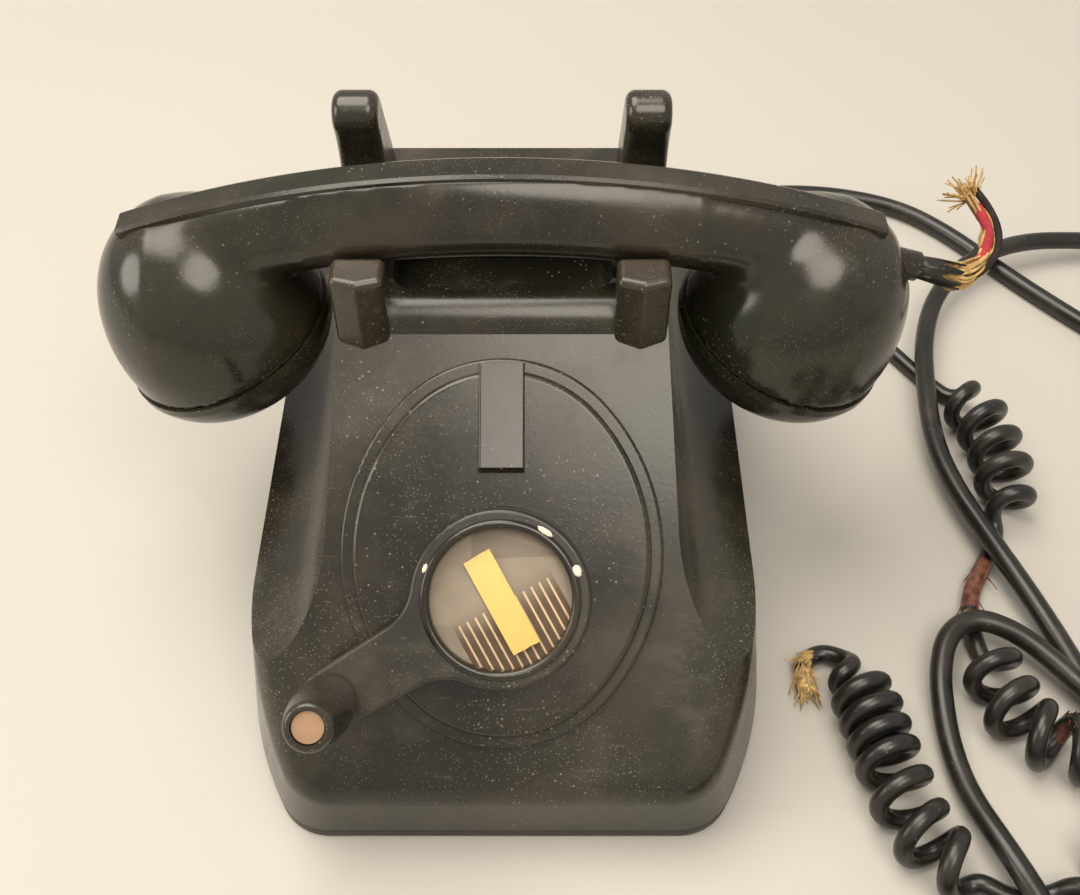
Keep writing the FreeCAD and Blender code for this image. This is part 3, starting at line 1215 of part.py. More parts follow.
def line_cord():
    wire = s("line_radius").value
    start, out = gland_end(s("line_gland_x"), s("line_gland_z"))
    nodes = coil_nodes(math.radians(s("coil_start").value))
    first, way = nodes[0]
    approach = first - way * s("coil_run").value
    route = [start, start + out * s("lead_run").value] + LINE_ROUTE + [approach, first]
    path, radii = bent_path(route)
    print("line cord radii", [round(r) for r in radii])
    swept("line_cord", path, wire)
    coil = biarcs(nodes)
    points = coil.discretize(Distance=s("curl_step").value)
    print("line cord coil least gap to itself %.2f mm" % least_gap(points, wire, 8))
    swept("line_cord_coil", coil, wire)
    end, way = nodes[-1]
    cord_lugs(end, way)


def cord_lugs(end, way):
    """A sleeve at the cord's end, and two short wires with fork lugs."""
    wire = s("line_radius").value
    sleeve = s("sleeve_length").value
    sleeve_radius = wire + s("sleeve_extra").value
    solid = Part.makeCylinder(sleeve_radius, sleeve, end, way)
    across = FreeCAD.Vector(-way.y, way.x, 0).normalize()
    root_spot = end + way * sleeve
    for side in (-1, 1):
        tail = s("tail_radius").value
        spot = root_spot + across * (side * wire / 2)
        tip = spot + way * s("tail_length").value + across * (side * s("tail_spread").value)
        solid = solid.fuse(Part.makeCylinder(tail, spot.distanceToPoint(tip), spot, tip - spot))
        heading = (tip - spot).normalize()
        aside = FreeCAD.Vector(-heading.y, heading.x, 0).normalize()
        half, long, thick = s("lug_half").value, s("lug_length").value, s("lug_thick").value
        corner = tip - aside * half - FreeCAD.Vector(0, 0, thick / 2)
        turn = FreeCAD.Rotation(FreeCAD.Vector(1, 0, 0), FreeCAD.Vector(heading.x, heading.y, 0))
        lug = Part.makeBox(long, half * 2, thick)
        slot = Part.makeBox(long, half, thick, FreeCAD.Vector(long / 3, half / 2, 0))
        lug = lug.cut(slot)
        lug.Placement = FreeCAD.Placement(corner, turn)
        solid = solid.fuse(lug)
    thing = doc.addObject("Part::Feature", "line_cord_lugs")
    thing.Shape = solid.removeSplitter()
    keep("line_cord_lugs", thing)


STUB_ROUTE = [(136, 27, 109), (147, 35, 109.5), (150, 48, 113), (143, 57, 117)]


def handset_stub():
    """The torn end of the cord that is left at the handset."""
    length = s("stub_bush_length")
    inside = s("stub_bush_inside")
    bush = cylinder("stub_bush", s("stub_bush_radius"), length + inside)
    keep("stub_bush", bush, STUB + " * " + at(z=-inside))
    dip = math.radians(s("bush_dip").value)
    out = FreeCAD.Vector(math.cos(dip), 0, -math.sin(dip))
    start = FreeCAD.Vector(s("bush_x").value, HANDSET_Y.value, s("bush_z").value) + out * length.value
    path, radii = bent_path([start, start + out * length.value] + STUB_ROUTE)
    print("stub radii", [round(r) for r in radii])
    swept("handset_cord_stub", path, s("stub_radius").value)


def main():
    base_plate()
    feet()
    base_screws()
    housing()
    front_plate()
    shaft_bush()
    clamp_bars()
    crank_arm()
    crank_label()
    crank_knob()
    drive_shaft()
    gear_train()
    magneto_frame()
    armature()
    hook_switch()
    ringer()
    circuit()
    handset()
    handset_caps()
    glands()
    line_cord()
    handset_cord()
    handset_stub()
    doc.recompute()
    failed = [item.Name for item in doc.Objects if "Invalid" in item.State or "Error" in item.State]
    if failed:
        raise RuntimeError("failed objects: %s" % failed)
    for label, thing in PARTS.items():
        if thing.Shape.isNull() or not thing.Shape.isValid() or not thing.Shape.Solids:
            raise RuntimeError("bad shape: " + label)
    os.makedirs("parts", exist_ok=True)
    for label, thing in PARTS.items():
        thing.Shape.exportStep("parts/%s.step" % label)
    print("%d sub-parts" % len(PARTS))


main()
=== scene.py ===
"""Looks of a desk telephone with a hand crank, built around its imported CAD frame."""

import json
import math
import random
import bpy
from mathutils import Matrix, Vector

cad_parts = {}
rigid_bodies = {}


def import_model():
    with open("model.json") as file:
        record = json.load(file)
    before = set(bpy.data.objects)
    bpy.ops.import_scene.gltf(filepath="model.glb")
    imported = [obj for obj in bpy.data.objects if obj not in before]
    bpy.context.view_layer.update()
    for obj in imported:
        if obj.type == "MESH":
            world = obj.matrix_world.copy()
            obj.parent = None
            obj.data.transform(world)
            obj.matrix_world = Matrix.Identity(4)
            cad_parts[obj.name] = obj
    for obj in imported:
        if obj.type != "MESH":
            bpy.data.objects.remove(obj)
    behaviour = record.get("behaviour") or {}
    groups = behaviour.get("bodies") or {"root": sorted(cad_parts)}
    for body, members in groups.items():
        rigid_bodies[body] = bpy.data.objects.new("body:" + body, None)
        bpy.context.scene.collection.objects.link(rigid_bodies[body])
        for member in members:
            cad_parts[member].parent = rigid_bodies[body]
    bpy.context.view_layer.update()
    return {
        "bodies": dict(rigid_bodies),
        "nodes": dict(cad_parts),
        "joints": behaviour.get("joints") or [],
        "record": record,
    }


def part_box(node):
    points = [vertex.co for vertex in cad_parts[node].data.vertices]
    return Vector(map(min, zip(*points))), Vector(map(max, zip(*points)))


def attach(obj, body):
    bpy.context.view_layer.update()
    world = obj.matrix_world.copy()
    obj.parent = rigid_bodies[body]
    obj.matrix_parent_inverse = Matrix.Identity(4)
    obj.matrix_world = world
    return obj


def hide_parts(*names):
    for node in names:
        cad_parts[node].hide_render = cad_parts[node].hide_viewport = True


bl_info = {
    "name": "Crank Desk Telephone",
    "version": (1, 0, 0),
    "blender": (4, 5, 0),
    "location": "View3D > Sidebar > Telephone",
    "description": "Finishes, cords and small pieces of a desk telephone with a hand-cranked magneto",
    "category": "Object",
}

import bmesh
import bpy
from bpy.props import FloatProperty, FloatVectorProperty, IntProperty, PointerProperty
from mathutils import Matrix, Vector
from mathutils.kdtree import KDTree

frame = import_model()
NODES = frame["nodes"]
JOINTS = {joint["name"]: joint for joint in frame["joints"]}
MM = 0.001

# The crank's axis gives the sloping front's own frame: right, up the slope and outwards.
HUB = Vector(JOINTS["crank_turn"]["pos_m"])
OUTWARD = Vector(JOINTS["crank_turn"]["axis"])
RIGHT = Vector((1, 0, 0))
UPSLOPE = OUTWARD.cross(RIGHT)
PHOTO_WIDTH = 1080
SENSOR = 36.0

# Lights: name, place, aim, width, power and colour
LIGHTS = [
    ("key", (-0.35, 0.25, 1.3), (0, 0, 0.05), 1.1, 20, (1.0, 0.93, 0.82)),
    ("front", (0.25, -0.62, 1.35), (0, 0, 0.05), 0.85, 11, (1.0, 0.92, 0.80)),
    ("left", (-1.2, -0.2, 0.6), (0, 0, 0.08), 0.7, 6, (1.0, 0.94, 0.85)),
]
ROOM_COLOUR = (1.0, 0.95, 0.87, 1)
ROOM_STRENGTH = 0.6
FLOOR_HALF = 2.5

# The label's rules and tape
LABEL_LEAN = math.radians(28.8)
RULES_START = 1.2 * MM
RULES_PITCH = 2.52 * MM
RULES_HALF = 6.2
RULE_SHARE = 0.115
WINDOW_HALF = 0.5 * MM
TAPE_GAP = 0.15 * MM
TAPE_WIDE = 8.2 * MM
TAPE_LONG = 28.9 * MM
TAPE_THICK = 0.12 * MM
TAPE_RIGHT = 0.2 * MM
TAPE_DOWN = 0.9 * MM

# Crumbs of filler on the hub: bearing in degrees, length and width
CHIPS = [(57, 4.8 * MM, 1.6 * MM), (21, 3.2 * MM, 2.4 * MM), (157, 2.6 * MM, 1.2 * MM)]
CHIP_RIM = 22.4 * MM
CHIP_LIFT = 1.6 * MM
CHIP_HIGH = 0.7 * MM

# The handset's skin and spine
SKIN_VOXEL = 1.2 * MM
SEAM_KEPT = 4 * MM
SKIN_ROUNDS = 6
JOIN_ROUNDS = 40
JOIN_NEAR = 0.056
JOIN_FAR = 0.100
JOIN_LOW = 0.100
ARCH = 0.300
ARCH_TOP = 0.138
HANDLE_HALF = 0.014
SPINE_HALF = 4.6 * MM
SPINE_LIFT = 1.1 * MM
SPINE_SUNK = 3 * MM
SPINE_REACH = math.radians(20.3)
SPINE_STEPS = 96

# Cords
SLEEVE_LENGTH = 24 * MM
SLEEVE_ROOT = 1.5 * MM
SLEEVE_TIP = 0.35 * MM
TIE_STEPS = 40
TIE_SQUARE = 0.55
TIE_GAP = 0.3 * MM
TIE_BAND = 4.5 * MM
TIE_THICK = 0.8 * MM
TIE_LOWEST = 0.1 * MM
EASING_ROUNDS = 14
SHARPEST_TURN = math.radians(50)
EASING = 0.3
SHARE_LIFT = 10
LONGEST_STEP = 7
FLOOR_GAP = 0.05
CLOSEST_END = 3
COIL_LEAD = 22
COIL_LOW = 3.7
CLIMB_TURNS = 0.5
FRAY_THREAD = 0.28 * MM
FRAY_REACH = (2 * MM, 6 * MM)
FRAY_BEND = 1.2 * MM
FRAY_LOWEST = 0.4 * MM

# The torn stub at the handset
FILLING_STRANDS = 34
FILLING_WHOLE = 10
FILLING_THREAD = 0.5 * MM
LOOSE_STRANDS = 46
LOOSE_THREAD = 0.45 * MM
FLAP_ROOT = 3.2 * MM
FLAP_RIM = 4 * MM
FLAP_LENGTH = 15 * MM
FLAP_AHEAD = 4 * MM
FLAP_THICK = 0.6 * MM
FLAP_TEAR = (-6 * MM, 4 * MM)
FRINGE_STRANDS = 70
FRINGE_THREAD = 0.22 * MM
FRINGE_REACH = (4 * MM, 9 * MM)
FRINGE_ROOT = 1.5 * MM
FRINGE_BEND = 2.2 * MM


# Property groups

def colour_property(name, description, default):
    return FloatVectorProperty(name=name, description=description, default=default, size=3,
                               subtype="COLOR", min=0, max=1)


def length_property(name, description, default):
    return FloatProperty(name=name, description=description, default=default, unit="LENGTH")


class TelephoneColours(bpy.types.PropertyGroup):
    """Colours of the finishes."""

    moulding: colour_property("Moulding", "Black moulded housing and handset", (0.0135, 0.0118, 0.0080))
    moulding_worn: colour_property("Worn moulding", "Dull patches of the moulding",
                                   (0.038, 0.030, 0.019))
    dust: colour_property("Dust", "Specks and film of dust", (0.34, 0.28, 0.20))
    sheath: colour_property("Cord sheath", "Rubber sheath of the cords", (0.011, 0.0105, 0.0090))
    cotton: colour_property("Cotton", "Frayed cotton filling of the torn cord", (0.66, 0.43, 0.17))
    bare_wire: colour_property("Bare wires", "Braid of the wires where the sheath is torn",
                               (0.20, 0.075, 0.045))
    red_wire: colour_property("Red wire", "Red insulation of a torn wire", (0.42, 0.045, 0.055))
    tape: colour_property("Tape", "Bare yellowed paper tape on the label", (0.77, 0.49, 0.165))
    card: colour_property("Label card", "Plain half of the label", (0.29, 0.24, 0.18))
    card_dark: colour_property("Ruled card", "Darker half of the label under its rules",
                               (0.085, 0.048, 0.023))
    rule: colour_property("Rules", "Pale rules on the label", (0.66, 0.47, 0.28))
    floor: colour_property("Floor", "Plain pale floor", (0.45, 0.43, 0.39))


class CordSizes(bpy.types.PropertyGroup):
    """Sizes of the cords."""

    line_diameter: length_property("Line cord", "Diameter of the line cord", 7.2 * MM)
    wire_diameter: length_property("Curly wire", "Diameter of the curly cord's sheath", 6.0 * MM)
    curl_radius: length_property("Curl", "Radius of the curls at the middle of the wire", 8.25 * MM)
    loose_pitch: length_property("Loose pitch", "Rise of one curl where the cord is stretched",
                                 12.0 * MM)
    tight_pitch: length_property("Tight pitch", "Rise of one curl near the torn end", 7.4 * MM)
    tight_length: length_property("Tight length", "Length of the tight curls", 70 * MM)
    points_per_turn: IntProperty(name="Points per turn", description="Control points of one curl",
                                 default=14)
    stub_diameter: length_property("Stub", "Diameter of the torn stub at the handset", 5.2 * MM)


class ViewSizes(bpy.types.PropertyGroup):
    """Where the camera stands."""

    place: FloatVectorProperty(name="Camera", description="Place of the camera", size=3, unit="LENGTH",
                               subtype="TRANSLATION", default=(10.8 * MM, -248.8 * MM, 369 * MM))
    dip: FloatProperty(name="Dip", description="How far the camera looks down", subtype="ANGLE",
                       default=math.radians(51))
    focal_pixels: FloatProperty(name="Focal length", default=1250,
                                description="Focal length in pixels of the photograph")


# Shader maths

class Shade:
    """A value in a node tree. Sums, products and comparisons of it add Math nodes."""

    def __init__(self, finish, socket):
        self.finish = finish
        self.socket = socket

    def _with(self, operation, first, second):
        return self.finish.node("ShaderNodeMath", {"operation": operation}, {0: first, 1: second})

    def __add__(self, other):
        return self._with("ADD", self, other)

    def __radd__(self, other):
        return self._with("ADD", other, self)

    def __sub__(self, other):
        return self._with("SUBTRACT", self, other)

    def __mul__(self, other):
        return self._with("MULTIPLY", self, other)

    def __gt__(self, other):
        return self._with("GREATER_THAN", self, other)

    def __lt__(self, other):
        return self._with("LESS_THAN", self, other)

    def __abs__(self):
        return self._with("ABSOLUTE", self, 0.0)

    def __mod__(self, other):
        return self._with("FLOORED_MODULO", self, other)

    def span(self, low, high):
        """The value stretched so that low gives 0 and high gives 1, held between them."""
        return self.finish.node("ShaderNodeMapRange", {"interpolation_type": "SMOOTHSTEP"},
                                {"Value": self, "From Min": low, "From Max": high})


class Finish:
    """A material whose nodes are made one by one."""

    def __init__(self, name, **sockets):
        self.material = bpy.data.materials.new(name)
        self.material.use_nodes = True
        self.tree = self.material.node_tree
        self.shader = self.tree.nodes["Principled BSDF"]
        self.set(**sockets)

    def join(self, value, socket):
        if isinstance(value, Shade):
            self.tree.links.new(value.socket, socket)
        elif socket.type == "RGBA" and len(value) == 3:
            socket.default_value = (*value, 1)
        else:
            socket.default_value = value

    def node(self, kind, settings=None, sockets=None, output=0):
        made = self.tree.nodes.new(kind)
        for key, value in (settings or {}).items():
            setattr(made, key, value)
        for key, value in (sockets or {}).items():
            self.join(value, made.inputs[key])
        return Shade(self, made.outputs[output])

    def set(self, **sockets):
        for key, value in sockets.items():
            self.join(value, self.shader.inputs[key.replace("_", " ")])

    def place(self, stretch=(1, 1, 1), turn=(0, 0, 0)):
        spot = self.node("ShaderNodeTexCoord", output="Object")
        if stretch == (1, 1, 1) and turn == (0, 0, 0):
            return spot
        return self.node("ShaderNodeMapping", {}, {"Vector": spot, "Scale": stretch, "Rotation": turn})

    def noise(self, scale, detail=2.0, rough=0.5, place=None):
        spot = place or self.place()
        return self.node("ShaderNodeTexNoise", {}, {"Vector": spot, "Scale": scale, "Detail": detail,
                                                    "Roughness": rough})

    def cells(self, scale):
        return self.node("ShaderNodeTexVoronoi", {}, {"Vector": self.place(), "Scale": scale})

    def mix(self, factor, first, second):
        made = self.tree.nodes.new("ShaderNodeMix")
        made.data_type = "RGBA"
        self.join(factor, made.inputs[0])
        self.join(first, made.inputs[6])
        self.join(second, made.inputs[7])
        return Shade(self, made.outputs[2])

    def bump(self, height, depth, strength=1.0):
        normal = self.node("ShaderNodeBump", {},
                           {"Height": height, "Distance": depth, "Strength": strength})
        self.set(Normal=normal)

    def along(self, direction, origin):
        """Distance of a point from the origin along a direction."""
        spot = self.node("ShaderNodeVectorMath", {"operation": "SUBTRACT"},
                         {0: self.place(), 1: tuple(origin)})
        return self.node("ShaderNodeVectorMath", {"operation": "DOT_PRODUCT"},
                         {0: spot, 1: tuple(direction)}, output="Value")


# Finishes

def moulding_finish(name, colours, gloss=0.19, dusty=1.0):
    """Black moulded resin: dull patches, fine scratches, specks of dust."""
    finish = Finish(name)
    patches = finish.noise(16, 5, 0.6).span(0.38, 0.72)
    tint = finish.noise(11, 3, 0.5).span(0.4, 0.62)
    film = finish.noise(55, 6, 0.65).span(0.45, 0.8)
    grain = finish.noise(700, 3, 0.7)
    large = (finish.cells(420) < 0.13) * finish.noise(38, 3).span(0.46, 0.62)
    small = (finish.cells(950) < 0.19) * finish.noise(26, 3).span(0.38, 0.6)
    specks = (large * 0.8 + small * 0.45) * dusty
    strokes = finish.noise(60, 4, 0.6, finish.place((1, 14, 14), (0.4, 0.2, 0.7))).span(0.66, 0.7)
    olive = tuple(c * f for c, f in zip(colours.moulding, (0.85, 1.12, 0.8)))
    dark = finish.mix(tint, tuple(colours.moulding), olive)
    base = finish.mix(patches, dark, tuple(colours.moulding_worn))
    hazed = finish.mix(film * 0.06 * dusty + strokes * 0.05, base, tuple(colours.dust))
    finish.set(Base_Color=finish.mix(specks * 0.65, hazed, tuple(colours.dust)))
    finish.set(Roughness=gloss + patches * 0.10 + film * 0.12 + strokes * 0.08 + specks * 0.3)
    finish.set(Specular_IOR_Level=0.55)
    finish.bump(grain * 0.5 + specks * 1.2 + patches * 0.3, 0.00012, 0.35)
    return finish.material


def sheath_finish(name, colours, bare=()):
    """Rubber cord sheath: satin black, brown where it was handled, worn through at the bare spots."""
    finish = Finish(name)
    worn = finish.noise(45, 4, 0.6).span(0.45, 0.75)
    fleck = finish.cells(520)
    specks = (fleck < 0.12) * finish.noise(60, 2).span(0.5, 0.65)
    brown = tuple(c * f for c, f in zip(colours.sheath, (3.4, 2.8, 2.2)))
    base = finish.mix(worn * 0.7, tuple(colours.sheath), brown)
    skin = finish.mix(specks * 0.5, base, tuple(colours.dust))
    ragged = finish.noise(420, 4, 0.7)
    for middle, reach, colour in bare:
        away = finish.node("ShaderNodeVectorMath", {"operation": "DISTANCE"},
                           {0: finish.place(), 1: tuple(c * MM for c in middle)}, output="Value")
        torn = (away + ragged * (reach * MM)).span(reach * 1.55 * MM, reach * 1.4 * MM)
        shaded = finish.mix(ragged.span(0.35, 0.65), tuple(c * 0.35 for c in colour), tuple(colour))
        skin = finish.mix(torn, skin, shaded)
    finish.set(Base_Color=skin)
    finish.set(Roughness=0.29 + worn * 0.16, Specular_IOR_Level=0.5)
    finish.bump(finish.noise(900, 3, 0.7) + worn * 0.5, 0.0001, 0.3)
    return finish.material


def metal_finish(name, colour, rough, blotch=0.25, metallic=1.0):
    """Bare or plated metal with tarnish."""
    finish = Finish(name, Metallic=metallic)
    tarnish = finish.noise(90, 5, 0.65).span(0.4, 0.75)
    dark = tuple(c * 0.45 for c in colour)
    finish.set(Base_Color=finish.mix(tarnish * blotch * 2, tuple(colour), dark))
    finish.set(Roughness=rough + tarnish * blotch)
    finish.bump(finish.noise(1400, 2), 0.00004, 0.25)
    return finish.material


def winding_finish(name, colour, axis):
    """Layers of enamelled wire, wound about one axis."""
    finish = Finish(name, Metallic=0.35)
    spot = finish.along(axis, (0, 0, 0))
    rows = abs((spot * 1800) % 1.0 - 0.5) * 2
    # The base colour is darker along the grooves between the turns of wire: painted shade, not a colour
    # of the wire.
    finish.set(Base_Color=finish.mix(rows, tuple(c * 0.35 for c in colour), tuple(colour)))
    finish.set(Roughness=0.35 + rows * 0.1)
    finish.bump(rows, 0.0003, 0.6)
    return finish.material


def yarn_finish(name, colour, shade=0.45):
    """Cotton or textile insulation, uneven along its length."""
    finish = Finish(name, Roughness=0.92, Specular_IOR_Level=0.2)
    tone = finish.noise(240, 4, 0.6).span(0.3, 0.75)
    soil = finish.noise(70, 3).span(0.5, 0.8)
    dark = tuple(c * shade for c in colour)
    base = finish.mix(tone, dark, tuple(colour))
    finish.set(Base_Color=finish.mix(soil * 0.45, base, (0.09, 0.055, 0.03)))
    finish.bump(finish.noise(1500, 3), 0.0003, 0.6)
    return finish.material


def label_ways():
    """Directions down and across the label, which sits turned in its hub."""
    way = RIGHT * math.sin(LABEL_LEAN) - UPSLOPE * math.cos(LABEL_LEAN)
    across = RIGHT * math.cos(LABEL_LEAN) + UPSLOPE * math.sin(LABEL_LEAN)
    return way, across


def label_finish(name, colours):
    """A card with a plain half and a ruled half, seen under its window."""
    finish = Finish(name, Roughness=0.7)
    way, across = label_ways()
    down = finish.along(way, HUB)
    side = finish.along(across, HUB)
    ruled = down > RULES_START
    inside = abs(side) < RULES_PITCH * RULES_HALF
    row = abs((side * (1 / RULES_PITCH)) % 1.0 - 0.5)
    line = (row < RULE_SHARE) * ruled * inside
    shade = finish.noise(120, 3).span(0.3, 0.8)
    plain = finish.mix(shade * 0.5, tuple(colours.card), tuple(c * 0.72 for c in colours.card))
    fade = down.span(RULES_START - 0.004, RULES_START + 0.007)
    toned = finish.mix(fade * inside, plain, tuple(colours.card_dark))
    finish.set(Base_Color=finish.mix(line, toned, tuple(colours.rule)))
    return finish.material


def plain_finish(name, colour, rough, spread=0.2, grain=500):
    """A dull even surface with a little variation."""
    finish = Finish(name)
    tone = finish.noise(70, 4).span(0.3, 0.75)
    finish.set(Base_Color=finish.mix(tone * spread, tuple(colour), tuple(c * 0.5 for c in colour)))
    finish.set(Roughness=rough + tone * 0.1)
    finish.bump(finish.noise(grain, 3), 0.0001, 0.3)
    return finish.material


def wear(node, material):
    """Give a CAD node its finish."""
    for slot in NODES[node].material_slots:
        slot.material = material


# Mesh helpers

def link(obj):
    bpy.context.scene.collection.objects.link(obj)
    return obj


def piece_from_mesh(name, mesh, material, body, smooth=True):
    mesh.materials.append(material)
    for polygon in mesh.polygons:
        polygon.use_smooth = smooth
    obj = link(bpy.data.objects.new(name, mesh))
    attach(obj, body)
    return obj


def piece_from_bmesh(name, bm, material, body, smooth=True):
    mesh = bpy.data.meshes.new(name)
    bm.to_mesh(mesh)
    bm.free()
    return piece_from_mesh(name, mesh, material, body, smooth)


def new_curve(name, lines, bevel=0.0, sides=6, resolution=8, taper=1.0):
    """Open splines that the lines' points pull on. The taper is their thickness at the far end."""
    curve = bpy.data.curves.new(name, "CURVE")
    curve.dimensions = "3D"
    curve.resolution_u = resolution
    curve.bevel_depth = bevel
    curve.bevel_resolution = sides
    curve.use_fill_caps = True
    for line in lines:
        spline = curve.splines.new("NURBS")
        spline.points.add(len(line) - 1)
        for index, (control, spot) in enumerate(zip(spline.points, line)):
            control.co = (*spot, 1)
            control.radius = 1 + (taper - 1) * index / (len(line) - 1)
        spline.order_u = 3
        spline.use_endpoint_u = True
    return link(bpy.data.objects.new(name, curve))


def mesh_of(probe):
    """The mesh that a curve object draws. The curve itself is removed."""
    bpy.context.view_layer.update()
    mesh = bpy.data.meshes.new_from_object(probe)
    curve = probe.data
    bpy.data.objects.remove(probe)
    bpy.data.curves.remove(curve)
    return mesh


def read_line(name, points, resolution=24):
    """Points read along the smooth spline that a route's points pull on."""
    mesh = mesh_of(new_curve(name, [points], resolution=resolution))
    line = [vertex.co.copy() for vertex in mesh.vertices]
    bpy.data.meshes.remove(mesh)
    return line


def strands(name, lines, radius, material, body, sides=2, taper=1.0):
    """Round strands in one mesh."""
    mesh = mesh_of(new_curve(name + "_lines", lines, radius, sides, 3, taper))
    mesh.name = name
    mesh.materials.clear()
    return piece_from_mesh(name, mesh, material, body)


def sleeve(name, line, wire, colours):
    """A tapered rubber strain relief over the first stretch of a cord."""
    lengths = lengths_along(line)
    covered = [spot for spot, far in zip(line, lengths) if far < SLEEVE_LENGTH]
    root = wire + SLEEVE_ROOT
    tip = wire + SLEEVE_TIP
    rubber = sheath_finish(name, colours)
    return strands(name, [covered[::4] + covered[-1:]], root, rubber, "base", sides=5,
                   taper=tip / root)


def soften(bm, verts, rounds):
    for _ in range(rounds):
        bmesh.ops.smooth_vert(bm, verts=verts, factor=0.5, use_axis_x=True, use_axis_y=True,
                              use_axis_z=True)


def frames_along(line):
    """Tangent and two crosswise directions at each point, turning as little as possible."""
    found = []
    aside = None
    for index, spot in enumerate(line):
        ahead = line[min(index + 1, len(line) - 1)] - line[max(index - 1, 0)]
        ahead = ahead.normalized()
        if aside is None:
            seed = Vector((0, 0, 1)) if abs(ahead.z) < 0.9 else Vector((1, 0, 0))
            aside = ahead.cross(seed).normalized()
        else:
            aside = (aside - ahead * aside.dot(ahead)).normalized()
        found.append((spot, ahead, aside, ahead.cross(aside)))
    return found


def lengths_along(line):
    total = [0.0]
    for first, second in zip(line, line[1:]):
        total.append(total[-1] + (second - first).length)
    return total


# Routes of the cords, as the solids have them, in millimetres

LINE_EXIT = (20, 116.11, 16.451)
CURL_EXIT = (46, 116.393, 15.451)
EXIT_WAY = Vector((0, 0.9622, 0.2723))
EXIT_RUN = 17
LINE_ROUTE = [
    (25, 152, 14.5), (41, 168, 7), (62, 180, 4), (88, 190, 3.7), (117, 195, 3.7), (145, 193, 3.7),
    (171, 184, 3.7), (190, 166, 3.7), (205, 145, 3.7), (222, 124, 3.7), (242, 102, 3.7), (265, 80, 3.7),
    (296, 77, 3.7), (318, 98, 3.7), (319, 129, 3.7), (299, 151, 4.5), (268, 157, 7), (239, 156, 10),
    (214, 153, 11.8), (191, 142, 11.8), (173, 123, 11), (163, 98, 10.6), (159, 72, 10.2),
    (157, 46, 9.5), (160, 24, 10), (167, 2, 10.6), (175, -18, 9.5), (182, -37, 8), (188, -54, 5.5),
    (197, -73, 3.7), (211, -95, 3.7), (221, -120, 3.7), (237, -144, 3.7), (264, -150, 3.7),
    (284, -131, 3.7), (280, -104, 5.5), (256, -90, 9), (228, -87, 11.6), (204, -80, 12),
    (187, -62, 11.2), (177, -47, 10.8), (167, -36, 10.6), (155, -31, 10.6), (145, -37, 9.8),
    (140.5, -50, 8), (139.5, -64, 6), (140, -78, 4.5), (142, -92, 6), (147, -108, 10),
    (153, -123, 10.6),
]
LEAD_ROUTE = [(52, 151, 12.5), (70, 159, 6), (94, 155, 3.2), (119, 141, 3.1), (139, 119, 3.05)]
# The third number of the curly route is how much of the full curl the cord has there.
CURL_ROUTE = [
    (152, 97, 0), (160, 84, 0), (167, 75, 0), (173, 64, 1), (177, 50, 1), (179, 34, 1), (178, 18, 1),
    (174, 6, 0), (167, -4, 0), (159, -16, 0), (156, -28, 0), (157, -38, 0), (157.5, -49, 1),
    (158, -62, 1), (165, -74, 1), (178, -80, 1), (187, -86, 0), (190, -95, 0), (188, -105, 1),
    (178, -117, 1), (166, -122, 0.4), (156, -123, 0), (147, -122, 0), (138, -120, 0.4), (129, -114, 1),
    (122, -103, 1), (119, -90, 1), (116, -74, 1), (113, -58, 1), (111, -47, 0.3), (107, -40, 0),
    (100, -37, 0), (96, -45, 0), (98, -56, 0),
]
# Middle and reach of the places where the curly cord's sheath is gone
COTTON_SPOTS = [((98, -52, 3), 6), ((98, -43, 3), 4), ((155, -29, 4), 4), ((154, -122, 4), 3)]
TEARS = [((164.5, -8, 3), 5), ((161, -14, 3), 5), ((158, -20, 3), 5), ((177, -75, 11), 6)]
COIL_CENTER = Vector((130, -192, 0))
COIL_RADIUS = 40
COIL_SPACING = 7.9
COIL_LOOPS = 2
COIL_START = math.radians(35)
COIL_POINTS = 14
STUB_WAY = Vector((0.9563, 0, -0.2924))
STUB_ROOT = (113, 24.5, 119)
STUB_RUN = 9
STUB_BEND = (133, 44, 112)
STUB_ROUTE = [(136, 27, 109), (147, 35, 109.5), (150, 48, 113), (143, 57, 117)]


def swell_of(step):
    """How much further out control points sit than the round curve they pull, a step apart."""
    return 1 + (2 / (1 + math.cos(step)) - 1) / 2


def coil_points():
    """Control points of the flat coil that winds in on the floor and out again one layer higher."""
    points = []
    swell = swell_of(2 * math.pi / COIL_POINTS)
    for step in range(COIL_LOOPS * 2 * COIL_POINTS + 1):
        turn = step / COIL_POINTS
        inward = turn if turn <= COIL_LOOPS else 2 * COIL_LOOPS - turn
        climb = min(max((turn - COIL_LOOPS) / CLIMB_TURNS + 0.5, 0.0), 1.0)
        climb = climb * climb * (3 - 2 * climb)
        far = (COIL_RADIUS + COIL_SPACING * (COIL_LOOPS / 2 - inward)) * swell
        angle = COIL_START - 2 * math.pi * turn
        points.append(COIL_CENTER + Vector((far * math.cos(angle), far * math.sin(angle),
                                            COIL_LOW + COIL_SPACING * climb)))
    return points


